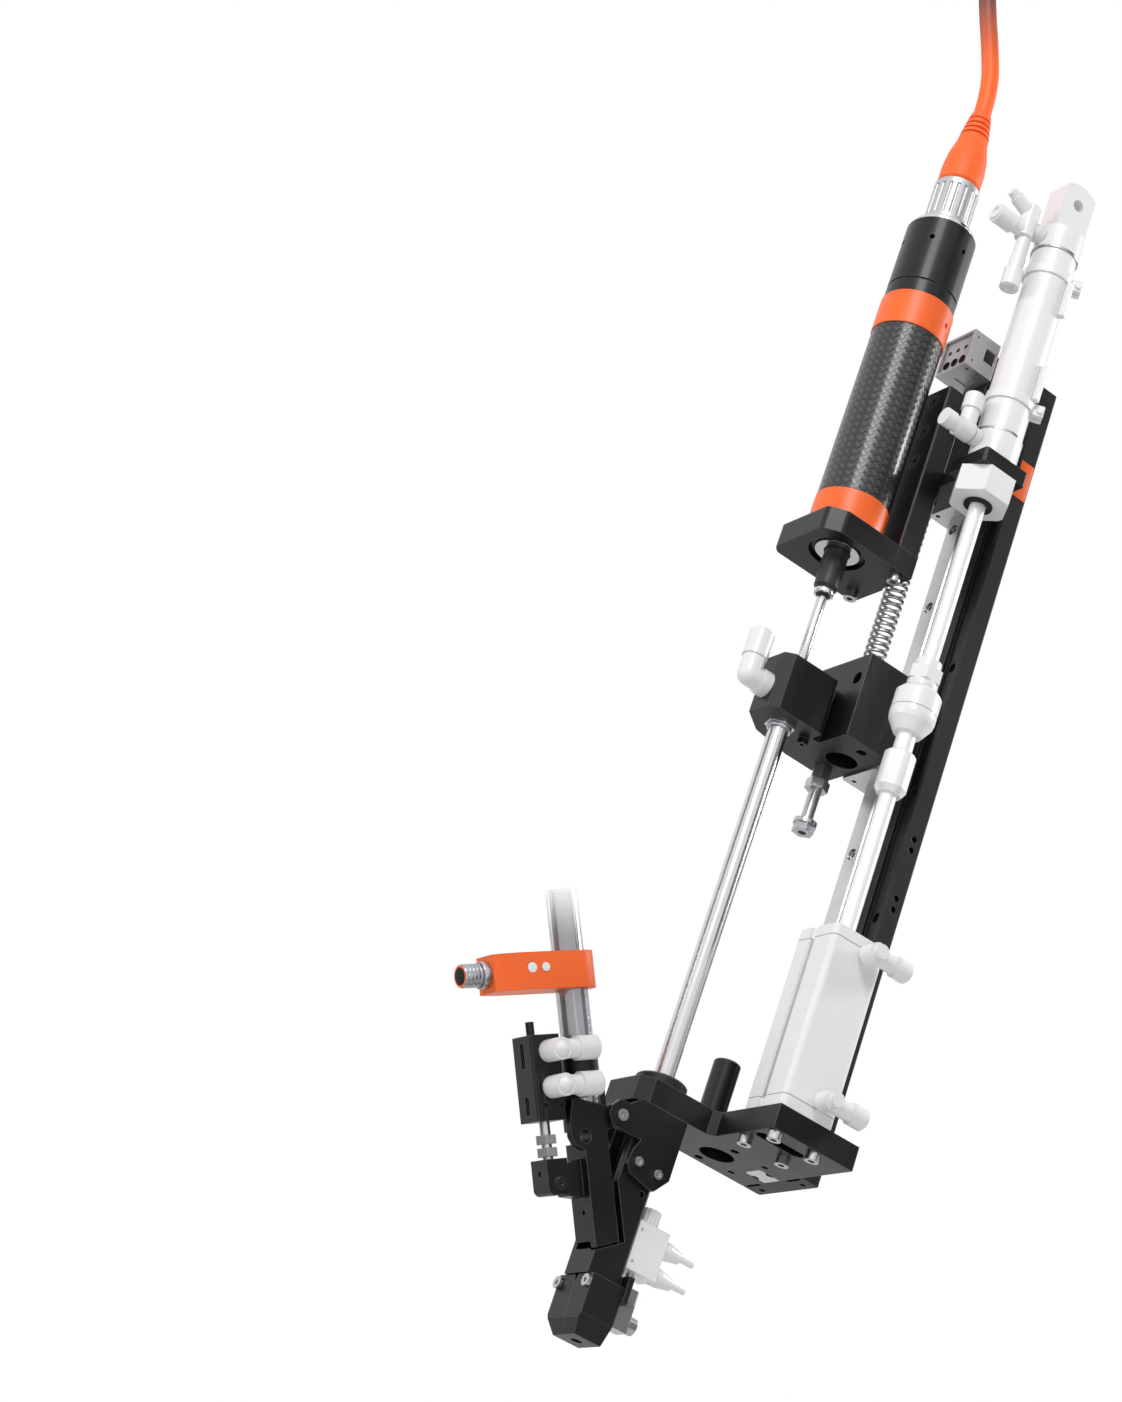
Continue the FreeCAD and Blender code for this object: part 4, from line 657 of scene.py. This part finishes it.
class SPINDLE_OT_stage(bpy.types.Operator):
    """Camera, lamps, floor and white surroundings"""
    bl_idname = "spindle.stage"
    bl_label = "Stage"

    def execute(self, context):
        scene = context.scene
        azimuth, elevation, roll = (math.radians(a) for a in CAMERA_ANGLES)
        back = Vector((math.sin(azimuth) * math.cos(elevation), -math.cos(azimuth) * math.cos(elevation),
                       math.sin(elevation)))
        level = Vector((math.cos(azimuth), math.sin(azimuth), 0))
        upright = back.cross(level)
        right = level * math.cos(roll) + upright * math.sin(roll)
        up = upright * math.cos(roll) - level * math.sin(roll)
        data = bpy.data.cameras.new("camera")
        data.lens, data.sensor_width, data.clip_start = CAMERA_LENS, 36.0, 0.05
        cam = bpy.data.objects.new("camera", data)
        scene.collection.objects.link(cam)
        cam.matrix_world = (Matrix.Translation(CAMERA_PLACE)
                            @ Matrix((right, up, back)).transposed().to_4x4())
        scene.camera = cam

        middle = Vector((TOOL_X, 0, 0.05))
        for name, place, size, watts in (("key", (-1.6, -1.6, 1.5), 0.9, 30), ("low", (-0.6, -1.9, -0.9), 1.0, 3),
                                         ("rim", (1.5, -0.6, 1.0), 0.5, 16), ("side", (-2.0, 0.4, 0.3), 0.6, 10)):
            lamp = bpy.data.lights.new(name, "AREA")
            lamp.energy, lamp.size = watts, size
            o = bpy.data.objects.new(name, lamp)
            o.location = place
            o.rotation_euler = (middle - Vector(place)).to_track_quat("-Z", "Y").to_euler()
            scene.collection.objects.link(o)

        shade = Shader("flag_cloth")
        shade.set(Base_Color=(0.01, 0.01, 0.01, 1), Roughness=0.9)
        for name, place, width in (("flag_right", middle + right * 0.85 + back * 0.25, 0.55),
                                   ("flag_left", middle - right * 0.85 + back * 0.25, 0.55)):
            begin()
            bpy.ops.mesh.primitive_plane_add(size=1.0, location=place,
                                             rotation=(middle - place).to_track_quat("Z", "Y").to_euler())
            flag = context.object
            flag.name = name
            flag.scale = (width, 2.4, 1)
            flag.data.materials.append(shade.material)
            flag.visible_camera = flag.visible_shadow = flag.visible_diffuse = False

        world = bpy.data.worlds.new("surroundings")
        world.use_nodes = True
        tree = world.node_tree
        path = tree.nodes.new("ShaderNodeLightPath")
        seen = path.outputs["Is Camera Ray"]
        for ray in ("Is Transmission Ray", "Is Glossy Ray"):
            either = tree.nodes.new("ShaderNodeMath")
            either.operation = "MAXIMUM"
            tree.links.new(seen, either.inputs[0])
            tree.links.new(path.outputs[ray], either.inputs[1])
            seen = either.outputs[0]
        white = tree.nodes.new("ShaderNodeBackground")
        white.inputs[0].default_value = (1, 1, 1, 1)
        soft = tree.nodes["Background"]
        soft.inputs[0].default_value = (0.98, 0.98, 1.0, 1)
        soft.inputs[1].default_value = 0.50
        mix = tree.nodes.new("ShaderNodeMixShader")
        tree.links.new(seen, mix.inputs[0])
        tree.links.new(soft.outputs[0], mix.inputs[1])
        tree.links.new(white.outputs[0], mix.inputs[2])
        tree.links.new(mix.outputs[0], tree.nodes["World Output"].inputs[0])
        scene.world = world
        scene.view_settings.view_transform = "Standard"

        begin()
        bpy.ops.mesh.primitive_plane_add(size=6.0, location=(0, 0, -1.6))
        floor = context.object
        floor.name = "floor"
        s = Shader("pale_floor")
        s.set(Base_Color=(0.9, 0.9, 0.9, 1), Roughness=0.9)
        floor.data.materials.append(s.material)
        floor.visible_camera = False
        return {"FINISHED"}


# ------------------------------------------------------------------ panel and run
STEPS = ("finishes", "cable", "spring", "driver", "tube_ends", "valve", "label", "sleeves", "sensor", "stage")


class SPINDLE_PT_panel(bpy.types.Panel):
    """The module's pieces and settings"""
    bl_idname = "SPINDLE_PT_panel"
    bl_label = "Spindle module"
    bl_space_type = "VIEW_3D"
    bl_region_type = "UI"
    bl_category = "Spindle"

    def draw(self, context):
        for prop in ("accent", "pneumatic", "plates", "spring_turns", "spring_wire", "cable_diameter", "weave"):
            self.layout.prop(context.scene.spindle, prop)
        for step in STEPS:
            self.layout.operator("spindle." + step)


CLASSES = (SpindleSettings, SPINDLE_OT_finishes, SPINDLE_OT_cable, SPINDLE_OT_spring, SPINDLE_OT_driver,
           SPINDLE_OT_tube_ends, SPINDLE_OT_valve, SPINDLE_OT_label,
           SPINDLE_OT_sleeves, SPINDLE_OT_sensor, SPINDLE_OT_stage, SPINDLE_PT_panel)


def register():
    for c in CLASSES:
        bpy.utils.register_class(c)
    bpy.types.Scene.spindle = bpy.props.PointerProperty(type=SpindleSettings)


def unregister():
    del bpy.types.Scene.spindle
    for c in reversed(CLASSES):
        bpy.utils.unregister_class(c)


def main():
    register()
    for step in STEPS:
        getattr(bpy.ops.spindle, step)()


if __name__ == "__main__":
    main()
